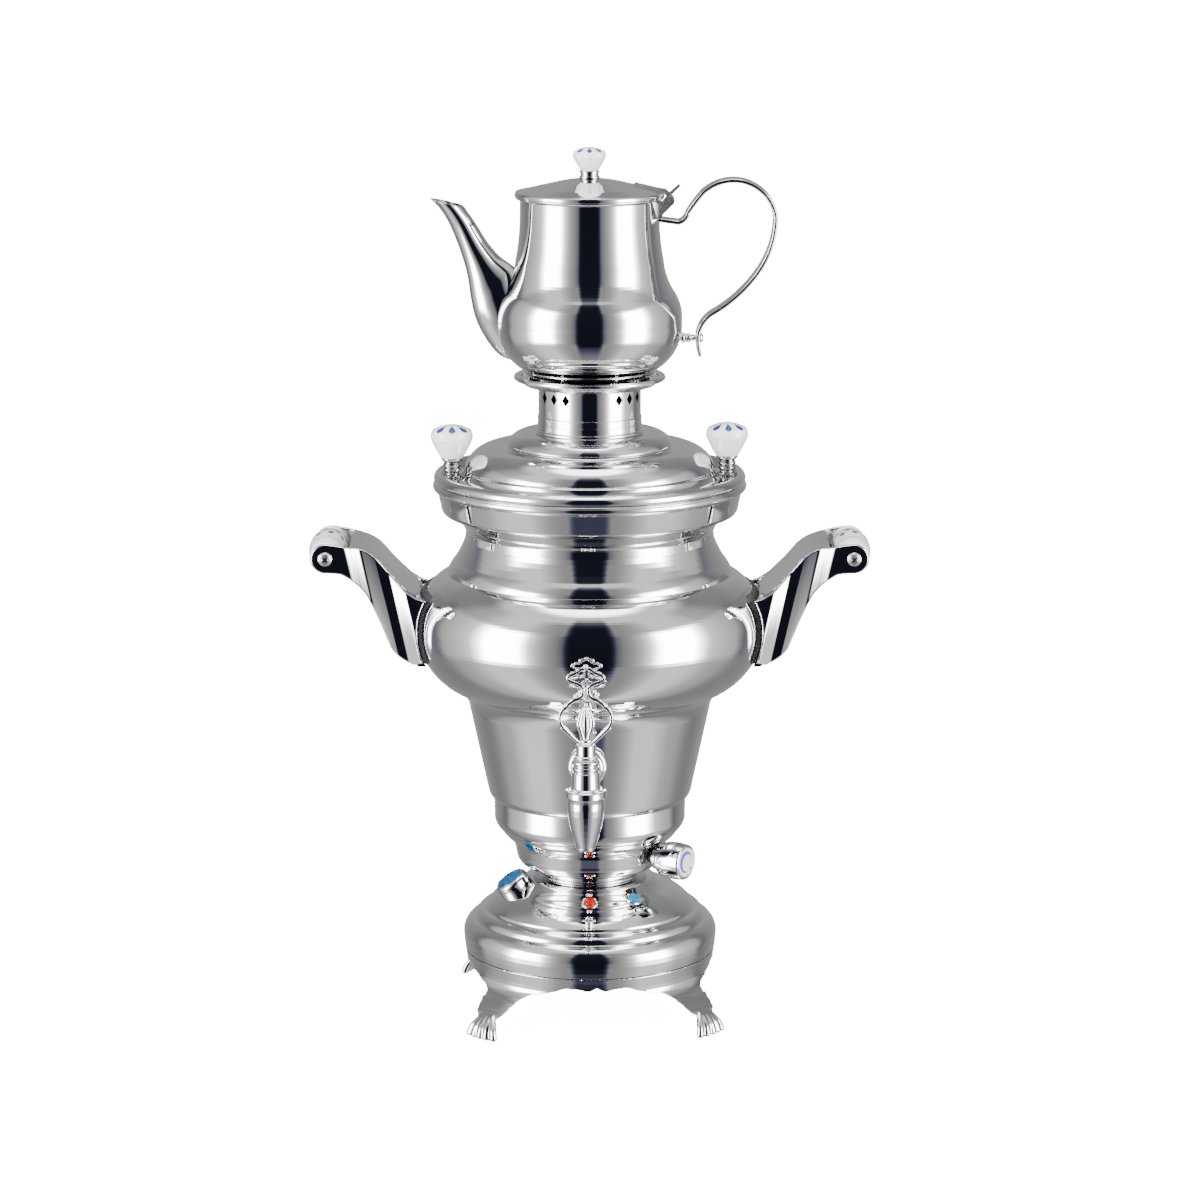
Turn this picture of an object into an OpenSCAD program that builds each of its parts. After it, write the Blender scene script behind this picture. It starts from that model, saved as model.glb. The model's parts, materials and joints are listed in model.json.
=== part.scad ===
// Electric samovar with a teapot on its crown. Millimetres, +Z up.
// Origin: the vertical axis at the table. Front (the tap's side) is -Y, the spout points to -X.
// An outline is a list of keys [r, z, bulge]; bulge is tan(sweep / 4) of the arc to the next key,
// positive when the arc turns anticlockwise, so on an outside wall walked upwards it swells outwards.

/* [Base] */
// Radius of the base shell at its bottom seam
base_r = 75.6; // [70:0.2:82]
// Height of the seam above the table
seam_z = 37; // [33:0.5:42]
// Rise of the base shell from the seam to the neck
dome_h = 45.5; // [42:0.5:50]
// Radius reached by the toes
toe_reach = 98; // [94:0.5:104]
// Turn of the foot ring about the vertical axis, degrees
base_turn = 3.3; // [0:0.1:8]
// Thickness of the foot ring's casting
foot_wall = 3.2; // [2.4:0.1:4.2]
// Thickness of the spun steel sheet
sheet = 1.2; // [0.8:0.1:1.5]

/* [Body] */
// Outer radius of the neck between base and body
neck_r = 29; // [27:0.2:31]
// Height of the neck
neck_h = 5; // [3.5:0.5:8]
// Radius of the cup at the bottom of the body
cup_r = 38; // [36.5:0.2:40]
// Radius of the bowl above the cup
bowl_r = 57.4; // [54:0.2:60]
// Height from the neck to the waist step
bowl_h = 46.7; // [44:0.5:52]
// Radius at the waist step
waist_r = 60.9; // [60.6:0.1:64]
// Radius at the top of the cone, under the belly
cone_r = 71.8; // [68:0.2:74]
// Height of the cone
cone_h = 62.3; // [56:0.5:70]
// Largest radius of the belly
belly_r = 104; // [98:0.5:108]
// Height of the belly
belly_h = 71; // [66:0.5:76]
// Smallest radius of the throat above the belly
throat_r = 73.6; // [71:0.2:76]
// Height of the throat
throat_h = 36; // [33:0.5:42]
// Radius of the rolled rim
rim_r = 92.4; // [90:0.2:96]
// Height of the rim band
band_h = 19.3; // [17:0.5:24]

/* [Cover and crown] */
// Radius of the cover's domed middle
cover_dome_r = 74.2; // [70:0.2:76]
// Radius of the tier round the crown
tier_r = 49.3; // [46:0.2:53]
// Rise of the cover from rim to crown
cover_h = 27.3; // [25:0.5:31]
// Radius of the crown
crown_r = 30.3; // [28:0.2:33]
// Height of the crown
crown_h = 27.1; // [25:0.5:32]
// Outer radius of the saucer on the crown
saucer_r = 44.8; // [43:0.2:48]
// Height of a vent diamond
vent_h = 7.2; // [5:0.2:9]
// Radius of a cover knob
knob_r = 13; // [11:0.2:14.5]
// Height of a cover knob's porcelain
knob_h = 20; // [17:0.5:24]
// Distance of a cover knob from the axis
knob_at = 81.5; // [80:0.2:83]

/* [Teapot] */
// Largest radius of the pot
pot_r = 54.4; // [50:0.2:58]
// Radius of the pot's foot
pot_foot_r = 35.5; // [33:0.2:38]
// Radius of the pot's mouth
mouth_r = 40.8; // [39:0.2:43]
// Height of the pot from foot to mouth
pot_h = 104; // [98:0.5:112]
// Rise of the pot's lid
pot_lid_h = 12.2; // [10:0.2:15]
// Thickness of the pot's wall
pot_wall = 1.1; // [0.8:0.1:1.4]
// Width of the pot's strap handle
strap_w = 15; // [11:0.5:19]
// Thickness of the strap handle
strap_t = 3; // [2.4:0.1:3.6]
// Radius of the lid's hinge pin
lid_pin_r = 1.1; // [0.8:0.1:1.3]

/* [Side handles] */
// Distance of a grip's axis from the vertical axis
grip_x = 155.4; // [152:0.2:160]
// Height of a grip's axis
grip_z = 280.4; // [277:0.2:284]
// Depth of a handle from front cheek to rear cheek
handle_w = 62; // [54:0.5:70]
// Thickness of a handle's cheek
cheek_t = 3.6; // [2.8:0.1:4.6]
// Largest radius of a grip
grip_r = 11.4; // [9.6:0.2:12.6]

/* [Tap] */
// Height of the tap's barrel
tap_z = 174; // [168:0.5:178]
// Distance of the key's axis from the vertical axis
tap_y = 116; // [115:0.5:122]
// Radius of the key's tapered plug at its middle, taken straight here
plug_r = 6; // [5:0.1:6.6]
// Bore of the tap's nozzle
outlet_r = 3.75; // [3:0.05:4.2]
// Running clearance of a turning part in its bore, on the radius
run_gap = 0.08; // [0.03:0.01:0.1]

/* [Controls] */
// Angle of the thermostat's knob round from the front
thermostat_turn = 57; // [50:0.5:64]
// Radius of the thermostat's knob
dial_r = 10.7; // [9:0.1:12]
// Length of the thermostat's knob
dial_h = 17; // [14:0.5:20]
// Radius of the circle that the switch and the lamps stand on
control_r = 45.5; // [44:0.2:47]
// Angle of the switch round from the front
switch_turn = -77; // [-84:0.5:-70]
// Angle of the second lamp round from the front
lamp_turn = 35; // [28:0.5:42]
// Radius of the switch's bezel
bezel_r = 10.4; // [9.4:0.1:11.4]
// Radius of a lamp's lens
lens_r = 3.4; // [2.8:0.1:4]

/* [Hidden] */
// Degrees of an arc per straight step of an outline, and facets of a full turn
arc_step = 12;
$fn = 96;
// Gap that a loose piece keeps from its seat, and depth that a joined piece sinks into its carrier
seat_gap = 0.3;
bite = 0.4;
far = 300;

// Levels of the stacked shells
neck_z = seam_z + dome_h;
bowl_z = neck_z + neck_h;
waist_z = bowl_z + bowl_h;
belly_z = waist_z + cone_h;
throat_z = belly_z + belly_h;
band_z = throat_z + throat_h;
rim_z = band_z + band_h;
cover_z = rim_z + seat_gap;
crown_z = cover_z + cover_h;
saucer_z = crown_z + crown_h;
saucer_rise = 7;
pot_z = saucer_z + saucer_rise + seat_gap;
mouth_z = pot_z + pot_h;
pot_lid_z = mouth_z + seat_gap;

// ---- Outlines ----
function at(p, i) = i < len(p) ? p[i] : 0;
function sweep_of(p) = 4 * atan(at(p, 2));
function heading(p, q) = atan2(q[1] - p[1], q[0] - p[0]);
function arc_points(p, q) =
    at(p, 2) == 0 ? [[p[0], p[1]]] :
    let (
        run = [q[0] - p[0], q[1] - p[1]],
        sweep = sweep_of(p),
        radius = norm(run) / (2 * sin(sweep / 2)),
        middle = [p[0] + q[0], p[1] + q[1]] / 2,
        centre = middle + radius * cos(sweep / 2) * [-run[1], run[0]] / norm(run),
        start = atan2(p[1] - centre[1], p[0] - centre[0]),
        steps = max(2, ceil(abs(sweep) / arc_step))
    )
    [for (k = [0:steps - 1]) centre + abs(radius) * [cos(start + sweep * k / steps), sin(start + sweep * k / steps)]];
function outline(keys) = [
    for (i = [0:len(keys) - 1]) each i < len(keys) - 1 ? arc_points(keys[i], keys[i + 1]) : [[keys[i][0], keys[i][1]]]
];
function reversed(v) = [for (i = [len(v) - 1:-1:0]) v[i]];
function left_of(angle) = [-sin(angle), cos(angle)];
// The same keys moved to the left of their walk by d, with mitred corners and concentric arcs
function moved(keys, d) = [
    for (i = [0:len(keys) - 1])
        let (
            last = len(keys) - 1,
            into = i == 0 ? undef : left_of(heading(keys[i - 1], keys[i]) + sweep_of(keys[i - 1]) / 2),
            out = i == last ? undef : left_of(heading(keys[i], keys[i + 1]) - sweep_of(keys[i]) / 2),
            a = is_undef(into) ? out : into,
            b = is_undef(out) ? into : out,
            mitre = (a + b) / norm(a + b)
        )
        [keys[i][0] + d * mitre[0] / (mitre * a), keys[i][1] + d * mitre[1] / (mitre * a), at(keys[i], 2)]
];
// A shell of revolution: outer keys walked upwards, inner keys likewise
module spun(outer, inner = []) {
    rotate_extrude() polygon(concat(outline(outer), reversed(outline(inner))));
}
// A strip of the given width along a path of keys
module ribbon(keys, width) {
    polygon(concat(outline(moved(keys, -width / 2)), reversed(outline(moved(keys, width / 2)))));
}
// Children drawn in x and z, standing up with the given depth centred on y = 0
module upright(depth) {
    rotate([90, 0, 0]) linear_extrude(depth, center = true) children();
}
// Children turned round the vertical axis, where 0 faces the front
module turned(angle) {
    rotate([0, 0, angle]) children();
}
module both_sides() {
    children();
    mirror([1, 0, 0]) children();
}
// A closed tube through rings of points, all rings alike in number
module skinned(rings) {
    n = len(rings[0]);
    m = len(rings);
    polyhedron(
        [for (ring = rings) each ring],
        concat(
            [[for (i = [0:n - 1]) i]],
            [for (k = [0:m - 2]) for (i = [0:n - 1]) each [
                [k * n + i, (k + 1) * n + i, (k + 1) * n + (i + 1) % n],
                [k * n + i, (k + 1) * n + (i + 1) % n, k * n + (i + 1) % n]
            ]],
            [[for (i = [n - 1:-1:0]) (m - 1) * n + i]]
        )
    );
}

// ---- Foot ring: a spun skirt that flares into four toed feet ----
skirt_keys = [
    [toe_reach - 5, 3], [toe_reach - 5.5, 9, 0.2], [toe_reach - 9.5, 14.8, 0.04], [base_r + 6.4, 19.8, -0.24],
    [base_r - 1.2, seam_z - 10, -0.03], [base_r, seam_z]
];
// Half of the cut between two feet, from the middle outwards
gap_edge = [
    [0, seam_z - 6, 0.16], [6, seam_z - 8.4, -0.1], [14.5, seam_z - 7, -0.15], [20.5, seam_z - 7.4, 0.08],
    [29, seam_z - 10.4, 0.05], [39, seam_z - 12.4, -0.06], [49.5, seam_z - 17, 0.06], [57, 16.6, -0.2],
    [59.4, 14, -0.1], [58.6, 9, 0.05], [60.5, 3], [60.5, -1]
];
ledge_w = 4.4;
toe_count = 4;
toe_step = 4.4;
module foot_cut() {
    edge = outline(gap_edge);
    other = [for (p = reversed(edge)) [-p[0], p[1]]];
    rotate([90, 0, 0]) linear_extrude(far) polygon(concat(edge, other));
}
// A toe: a claw lying outwards, with its tip turned down to the table
module toe(angle) {
    turned(angle) translate([0, -toe_reach + 8.6, 4]) turned(angle * 0.5) rotate([99, 0, 0])
        rotate_extrude($fn = 32)
        polygon(outline([[0, -8], [2.8, -6.6, 0.1], [3.8, 0, 0.22], [2.4, 6.4, 0.3], [0, 8.6]]));
}
module foot_ring() color("silver") turned(base_turn) difference() {
    union() {
        difference() {
            union() {
                spun(skirt_keys, moved(skirt_keys, foot_wall));
                translate([0, 0, plate_z - 2])
                    spun([[plate_r - ledge_w, 0], [plate_r + 2, 0], [plate_r + 2, 2]], [[plate_r - ledge_w, 0], [plate_r - ledge_w, 2]]);
            }
            for (k = [0:3]) turned(90 * k) foot_cut();
        }
        for (k = [0:3]) for (t = [0:toe_count - 1])
            turned(90 * k + 45) toe((t - (toe_count - 1) / 2) * toe_step);
    }
    translate([0, 0, -20]) cylinder(h = 20, r = far);
}

// ---- Base: closing plate, spun shell, neck, and the rod that ties the stack ----
plate_r = base_r - foot_wall - 1.2;
plate_z = seam_z - 4.5;
plate_t = 1.6;
tie_r = 4;
screw_at = plate_r - ledge_w - 4;
lug_r = 4.5;
module bottom_plate() color("dimgray") difference() {
    translate([0, 0, plate_z]) cylinder(h = plate_t, r = plate_r);
    translate([0, 0, plate_z - 2]) cylinder(h = 10, r = tie_r + 0.3);
    for (k = [0:3]) turned(90 * k + 45) translate([0, -screw_at, plate_z - 2]) cylinder(h = 10, r = 1.8, $fn = 32);
    for (k = [0:11]) turned(30 * k + 15) translate([0, -38, plate_z - 2]) cylinder(h = 10, r = 2.6, $fn = 32);
}
module bottom_screws() color("gray")
    for (k = [0:3]) turned(90 * k + 45) translate([0, -screw_at, plate_z]) {
        translate([0, 0, -1.8]) cylinder(h = 1.8, r = 3.2, $fn = 32);
        translate([0, 0, -bite]) cylinder(h = 7.5, r = 1.5, $fn = 32);
    }
function dome_key(s, t, bulge = 0) = [neck_r + 2 + s * (base_r - neck_r - 2), seam_z + t * dome_h, bulge];
dome_keys = [
    dome_key(1, 0, 0.03), dome_key(1.02, 0.21, 0.27), dome_key(0.885, 0.405), dome_key(0.862, 0.405, -0.3),
    dome_key(0.852, 0.428, 0.26), dome_key(0.755, 0.527), dome_key(0.73, 0.53, -0.25),
    dome_key(0.70, 0.576, 0.13), dome_key(0.392, 0.80), dome_key(0.363, 0.811, -0.12),
    dome_key(0.19, 0.919, 0.2), dome_key(0, 1), [neck_r - 3, neck_z]
];
dome_lining = [
    dome_key(1, 0, 0.03), dome_key(1.02, 0.21, 0.25), dome_key(0.86, 0.425), dome_key(0.74, 0.53),
    dome_key(0.70, 0.576, 0.13), dome_key(0.38, 0.80, -0.1), dome_key(0.19, 0.919, 0.2), dome_key(0, 1),
    [neck_r - 3, neck_z]
];
// Where a control stands on the dome: its level and the lean of its axis from the vertical
control_z = seam_z + 0.825 * dome_h;
control_lean = 34;
module on_dome(angle, r = control_r) {
    turned(angle) translate([0, -r, control_z - (r - control_r) * 0.6]) rotate([control_lean, 0, 0]) children();
}
lens_bore = lens_r + 0.15;
switch_bore = bezel_r - 1.4;
inlet_z = seam_z + 16;
inlet_w = 27;
inlet_h = 20;
inlet_depth = 22;
inlet_face = base_r + 1.5;
module base_shell() color("silver") difference() {
    union() {
        spun(dome_keys, moved(dome_lining, sheet));
        for (k = [0:3]) turned(90 * k + 45) translate([0, -screw_at, plate_z + plate_t])
            difference() {
                cylinder(h = seam_z + 6 - plate_z, r = lug_r, $fn = 32);
                translate([0, 0, -1]) cylinder(h = 8, r = 1.5, $fn = 32);
            }
        for (k = [0:3]) turned(90 * k + 45) translate([-1.2, -base_r, seam_z + 3]) cube([2.4, base_r - screw_at - 2, 5]);
    }
    for (a = [0, lamp_turn]) on_dome(a) translate([0, 0, -15]) cylinder(h = 30, r = lens_bore, $fn = 48);
    on_dome(switch_turn) translate([0, 0, -15]) cylinder(h = 30, r = switch_bore);
    translate([-inlet_w / 2, base_r - inlet_depth, inlet_z - inlet_h / 2]) cube([inlet_w, far, inlet_h]);
}
module neck_collar() color("silver")
    spun([[neck_r + 0.5, neck_z, 0.2], [neck_r, bowl_z]], [[neck_r - 2.5, neck_z], [neck_r - 2.5, bowl_z]]);
floor_z = bowl_z + 23.5;
floor_t = 1.5;
module tie_rod() color("gray")
    translate([0, 0, plate_z - 6]) cylinder(h = bowl_z + sheet + 12 - plate_z, r = tie_r, $fn = 48);
module tie_nuts() color("gray") for (z = [plate_z - 5, bowl_z + sheet])
    translate([0, 0, z]) difference() {
        cylinder(h = 5, r = 7.5, $fn = 6);
        translate([0, 0, -1]) cylinder(h = 7, r = tie_r, $fn = 48);
    }

// ---- Body: one spun vessel from cup to rolled rim ----
body_keys = [
    [tie_r + 0.3, bowl_z], [cup_r, bowl_z, 0.32], [cup_r + 6.3, bowl_z + 8], [cup_r + 7.5, bowl_z + 13.5],
    [cup_r + 8.8, bowl_z + 16, 0.1], [bowl_r - 3.4, bowl_z + 23.5, 0.25], [bowl_r, bowl_z + 32],
    [bowl_r + 0.2, waist_z - 4.2, 0.2], [waist_r, waist_z], [cone_r, belly_z - 11.5, -0.2],
    [cone_r + 6.2, belly_z, 0.314], [belly_r, belly_z + belly_h * 0.556, 0.298],
    [throat_r + 11.2, throat_z, 0.12], [throat_r + 6.6, throat_z + 8.2], [throat_r + 6, throat_z + 9.2, -0.05],
    [throat_r + 0.3, throat_z + 21], [throat_r, throat_z + 25.5], [throat_r + 0.4, throat_z + 26.2, -0.25],
    [rim_r - 8.4, band_z], [rim_r - 5.9, band_z + 0.5, 0.2], [rim_r - 4.4, band_z + 3],
    [rim_r - 2.2, rim_z - 5.8], [rim_r - 0.9, rim_z - 5.3, 0.5], [rim_r, rim_z - 1.3, 0.3], [rim_r - 1.4, rim_z]
];
body_lining = [
    [tie_r + 0.3, bowl_z], [cup_r, bowl_z, 0.32], [cup_r + 6.3, bowl_z + 8], [cup_r + 8.2, bowl_z + 16, 0.1],
    [bowl_r - 3.4, bowl_z + 23.5, 0.25], [bowl_r, bowl_z + 32], [bowl_r + 0.2, waist_z - 4.2],
    [waist_r, waist_z], [cone_r, belly_z - 11.5, -0.2], [cone_r + 6.2, belly_z, 0.314],
    [belly_r, belly_z + belly_h * 0.556, 0.298], [throat_r + 11, throat_z], [throat_r + 6, throat_z + 9],
    [throat_r, throat_z + 21], [throat_r, throat_z + 26], [rim_r - 8.2, band_z + 0.4], [rim_r - 4.6, band_z + 3],
    [rim_r - 2.2, rim_z - 5], [rim_r - 2.2, rim_z]
];
thermostat_z = bowl_z + 10.2;
thermostat_bore = 5.2;
tap_angle = -1;
tap_bore = 7;
module body_shell() color("gainsboro") difference() {
    spun(body_keys, moved(body_lining, sheet));
    turned(thermostat_turn) translate([0, 0, thermostat_z]) rotate([90, 0, 0])
        cylinder(h = far, r = thermostat_bore, $fn = 48);
    turned(tap_angle) translate([0, 0, tap_z]) rotate([90, 0, 0]) cylinder(h = far, r = tap_bore + 0.2, $fn = 48);
    for (a = [-90, 90]) turned(a) translate([0, 0, handle_bolt_z]) rotate([90, 0, 0])
        cylinder(h = far, r = handle_bolt_r + 0.2, $fn = 32);
    for (k = [0:5]) turned(60 * k + 30) translate([0, -22, bowl_z - 1]) cylinder(h = 4, r = 2.6, $fn = 32);
}
element_bore = 12;
module tank_floor() color("silver") difference() {
    intersection() {
        translate([0, 0, floor_z]) cylinder(h = floor_t, r = bowl_r);
        spun(moved(body_lining, sheet), [[0, bowl_z], [0, rim_z]]);
    }
    translate([0, 0, floor_z - 2]) cylinder(h = 10, r = element_bore + 0.2);
}

// ---- Heating element: a tube bent into a ring on two legs, through a flange in the tank's floor ----
tube_r = 3.6;
coil_r = 32;
coil_z = floor_z + 26;
leg_x = 7;
module element_gasket() color("dimgray") translate([0, 0, floor_z - 2]) difference() {
    cylinder(h = 2, r = element_bore + 6);
    translate([0, 0, -1]) cylinder(h = 4, r = element_bore + 0.2);
}
module heating_element() color("lightgray") {
    translate([0, 0, floor_z + floor_t]) cylinder(h = 2.5, r = element_bore + 5);
    translate([0, 0, floor_z - 12]) cylinder(h = 15, r = element_bore);
    for (x = [-leg_x, leg_x]) {
        translate([x, 0, floor_z - 13]) cylinder(h = coil_z - floor_z + 13, r = tube_r, $fn = 48);
        translate([x, 0, floor_z - 15.6]) cylinder(h = 7, r = 1.6, $fn = 32);
        translate([x, 0, coil_z]) sphere(r = tube_r, $fn = 48);
        translate([x, 0, coil_z]) rotate([90, 0, 0]) cylinder(h = coil_r, r = tube_r, $fn = 48);
    }
    translate([0, 0, coil_z]) rotate([0, 0, -90 + asin(leg_x / coil_r)])
        rotate_extrude(angle = 360 - 2 * asin(leg_x / coil_r)) translate([coil_r, 0]) circle(r = tube_r, $fn = 48);
}
module element_nut() color("gray") translate([0, 0, floor_z - 8]) difference() {
    cylinder(h = 6, r = element_bore + 6, $fn = 6);
    translate([0, 0, -1]) cylinder(h = 8, r = element_bore + 0.1);
}
module thermal_cutout() color("black") translate([0, 34, floor_z]) {
    translate([0, 0, -2.2]) cylinder(h = 2.2, r = 8.5, $fn = 48);
    translate([0, 0, -9]) cylinder(h = 7, r = 7, $fn = 48);
    for (x = [-4, 4]) translate([x - 1, -1.2, -15]) cube([2, 2.4, 6.5]);
}

// ---- Controls ----
wall_at_dial = cup_r + 6.9;
module at_dial() {
    turned(thermostat_turn) translate([0, 0, thermostat_z]) rotate([90, 0, 0]) children();
}
bush_r = thermostat_bore - 0.2;
shaft_r = 3;
dial_root = wall_at_dial + 6.8;
module thermostat() color("dimgray") at_dial() difference() {
    union() {
        translate([0, 0, 22]) cylinder(h = 14, r = 8.4, $fn = 64);
        translate([0, 0, 35]) cylinder(h = wall_at_dial + 5.8 - 35, r = bush_r, $fn = 48);
        for (y = [-1, 1]) translate([y * 5 - 1, -1.2, 16]) cube([2, 2.4, 6.5]);
    }
    translate([0, 0, 28]) cylinder(h = far, r = shaft_r + run_gap, $fn = 48);
}
module thermostat_nut() color("dimgray") at_dial() translate([0, 0, wall_at_dial + 3.1]) difference() {
    cylinder(h = 2.4, r = 7, $fn = 48);
    translate([0, 0, -1]) cylinder(h = 5, r = bush_r, $fn = 48);
}
module thermostat_knob() color("silver") at_dial() {
    translate([0, 0, 28.5]) cylinder(h = dial_root + 6 - 28.5, r = shaft_r, $fn = 48);
    translate([0, 0, dial_root]) spun([
        [0, 0], [dial_r - 1.6, 0, 0.2], [dial_r - 1.2, 1.4], [dial_r - 0.4, 2, 0.1], [dial_r, dial_h - 1.6, 0.35],
        [dial_r - 1.2, dial_h], [dial_r - 1.8, dial_h], [dial_r - 1.8, dial_h - 1], [0, dial_h - 1]
    ]);
}
module dial_insert() color("ivory") at_dial() translate([0, 0, dial_root + dial_h - 1])
    spun([[0, 0], [dial_r - 1.9, 0], [dial_r - 1.9, 0.5, 0.3], [dial_r - 2.5, 0.9], [0, 0.9]]);
bezel_h = 7.5;
bezel_bore = switch_bore - 0.6;
rocker_r = bezel_bore - 0.35;
rocker_pivot = 5;
rocker_tilt = 7;
pivot_r = 1;
module switch_bezel() color("silver") {
    difference() {
        on_dome(switch_turn) spun(
            [[bezel_r, -3], [bezel_r, bezel_h - 2.4, 0.3], [bezel_r - 2.2, bezel_h]],
            [[bezel_bore, -3], [bezel_bore, bezel_h]]
        );
        difference() {
            spun(concat(dome_keys, [[0, neck_z], [0, seam_z]]));
            on_dome(switch_turn) translate([0, 0, -15]) cylinder(h = 30, r = switch_bore - 0.2);
        }
    }
    on_dome(switch_turn) {
        spun([[bezel_bore, -13], [switch_bore - 0.2, -13], [switch_bore - 0.2, -2]], [[bezel_bore, -13], [bezel_bore, -2]]);
        translate([0, 0, -13]) cylinder(h = 6, r = switch_bore - 0.3);
        for (x = [-3.5, 3.5]) translate([x - 1, -1.2, -20]) cube([2, 2.4, 7.5]);
        for (s = [-1, 1]) translate([s * (bezel_bore + 0.3), 0, rocker_pivot]) rotate([0, -90 * s, 0])
            cylinder(h = 2.1, r = pivot_r, $fn = 32);
    }
}
rocker_keys = [
    [-rocker_r, -3], [0, -5.2], [rocker_r, -3], [rocker_r, bezel_h - rocker_pivot + 0.7, -0.12],
    [0, bezel_h - rocker_pivot - 0.5, -0.12], [-rocker_r, bezel_h - rocker_pivot + 0.7]
];
module switch_rocker() color("deepskyblue") on_dome(switch_turn)
    translate([0, 0, rocker_pivot]) rotate([-rocker_tilt, 0, 0]) difference() {
        intersection() {
            translate([0, 0, -6]) cylinder(h = 12, r = rocker_r);
            rotate([0, 90, 0]) cylinder(h = far, r = rocker_r, center = true);
            rotate([0, 90, 0]) linear_extrude(2 * rocker_r, center = true)
                polygon([for (p = outline(rocker_keys)) [-p[1], p[0]]]);
        }
        for (s = [-1, 1]) translate([s * (rocker_r + 1), 0, 0]) rotate([0, -90 * s, 0])
            cylinder(h = 2.9, r = pivot_r + run_gap, $fn = 32);
    }
module lamp(hue, angle) {
    color(hue) on_dome(angle) {
        spun([[0, -9], [lens_r - 0.4, -9], [lens_r, -8.4], [lens_r, 1.6, 0.3], [lens_r * 0.6, 3.2, 0.15], [0, 3.8]]);
        translate([0, 0, -3.2]) cylinder(h = 1, r = lens_r + 1.6, $fn = 48);
    }
}
module red_lamp() lamp("red", 0);
module blue_lamp() lamp("deepskyblue", lamp_turn);
module power_inlet() color("black") translate([0, 0, inlet_z]) difference() {
    union() {
        translate([-inlet_w / 2 + 0.2, inlet_face - inlet_depth - 1, -inlet_h / 2 + 0.2])
            cube([inlet_w - 0.4, inlet_depth + 1, inlet_h - 0.4]);
        translate([0, inlet_face + 2, 0]) rotate([90, 0, 0]) linear_extrude(2.2)
            square([inlet_w + 3, inlet_h + 3], center = true);
    }
    translate([0, inlet_face + 3, 0]) rotate([90, 0, 0]) linear_extrude(19)
        polygon([[-12.2, -8.4], [12.2, -8.4], [12.2, 3.4], [7.2, 8.4], [-7.2, 8.4], [-12.2, 3.4]]);
    translate([0, 0, -inlet_z]) inlet_pins();
}
module inlet_pins() color("silver") for (p = [[-7, -2], [7, -2], [0, 2]])
    translate([p[0] - 1, inlet_face - inlet_depth - 7, inlet_z + p[1] - 2]) cube([2, inlet_depth + 2.4, 4]);

// ---- Side handles: a channel-shaped arm on a flange that follows the belly ----
gasket_t = 1.5;
flange_t = 4;
web_t = 2.6;
ear_r = 8.8;
handle_bolt_z = belly_z + belly_h * 0.556;
handle_bolt_r = 2.5;
grip_bolt_r = 2.2;
arm_top = [
    [grip_x, grip_z + ear_r, 0.04], [grip_x - 14, grip_z + 6.6, 0.2], [grip_x - 32, grip_z - 2.2, -0.02],
    [belly_r + 4, handle_bolt_z + 25, -0.05], [belly_r - 16, handle_bolt_z + 14]
];
arm_low = [
    [belly_r - 12, handle_bolt_z - 22], [belly_r, handle_bolt_z - 19.8, 0.16],
    [belly_r + 13.5, handle_bolt_z - 10, -0.02], [belly_r + 26.5, handle_bolt_z + 20, -0.16],
    [grip_x - 9, grip_z - ear_r - 0.6, -0.04], [grip_x, grip_z - ear_r, 1]
];
belly_keys = [for (k = body_keys) if (k[1] >= belly_z - 20 && k[1] <= throat_z + 22) k];
module belly_grown(d) {
    spun(moved(belly_keys, -d), [[0, belly_z - 20], [0, throat_z + 22]]);
}
module handle() {
    web_end = grip_x - grip_r - 2;
    under = moved(arm_top, web_t);
    difference() {
        upright(handle_w) polygon(outline(concat(arm_low, arm_top)));
        difference() {
            upright(handle_w - 2 * cheek_t) polygon(concat(
                [[0, 0], [far, 0], [far, far + grip_z], [web_end, far + grip_z]],
                [[web_end, grip_z + 4.4]],
                [for (p = outline(under)) if (p[0] < web_end - 1) p],
                [[0, under[4][1]]]
            ));
            belly_grown(gasket_t + flange_t);
        }
        belly_grown(gasket_t + 0.05);
        translate([grip_x, 0, grip_z]) rotate([90, 0, 0]) cylinder(h = far, r = grip_bolt_r + 0.1, center = true, $fn = 48);
        translate([0, 0, handle_bolt_z]) rotate([0, 90, 0]) cylinder(h = belly_r + gasket_t + flange_t + 2, r = handle_bolt_r + 0.05, $fn = 48);
    }
}
module handle_right() color("lightsteelblue") handle();
module handle_left() color("lightsteelblue") mirror([1, 0, 0]) handle();
module handle_gaskets() color("black") both_sides() difference() {
    intersection() {
        difference() {
            belly_grown(gasket_t);
            belly_grown(0.05);
        }
        upright(handle_w - 2) polygon([
            [belly_r - 20, handle_bolt_z - 19], [belly_r + 9, handle_bolt_z - 19],
            [belly_r + 9, handle_bolt_z + 22], [belly_r - 20, handle_bolt_z + 22]
        ]);
    }
    translate([0, 0, handle_bolt_z]) rotate([0, 90, 0]) cylinder(h = far, r = handle_bolt_r + 0.2, $fn = 48);
}
module handle_nuts() color("gray") both_sides() translate([belly_r, 0, handle_bolt_z]) rotate([0, 90, 0]) {
    translate([0, 0, -12]) cylinder(h = 12 + gasket_t + flange_t, r = handle_bolt_r, $fn = 48);
    translate([0, 0, -sheet - 4.4]) cylinder(h = 4, r = 5, $fn = 6);
}
grip_l = handle_w - 2 * cheek_t - 2 * 0.2;
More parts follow.
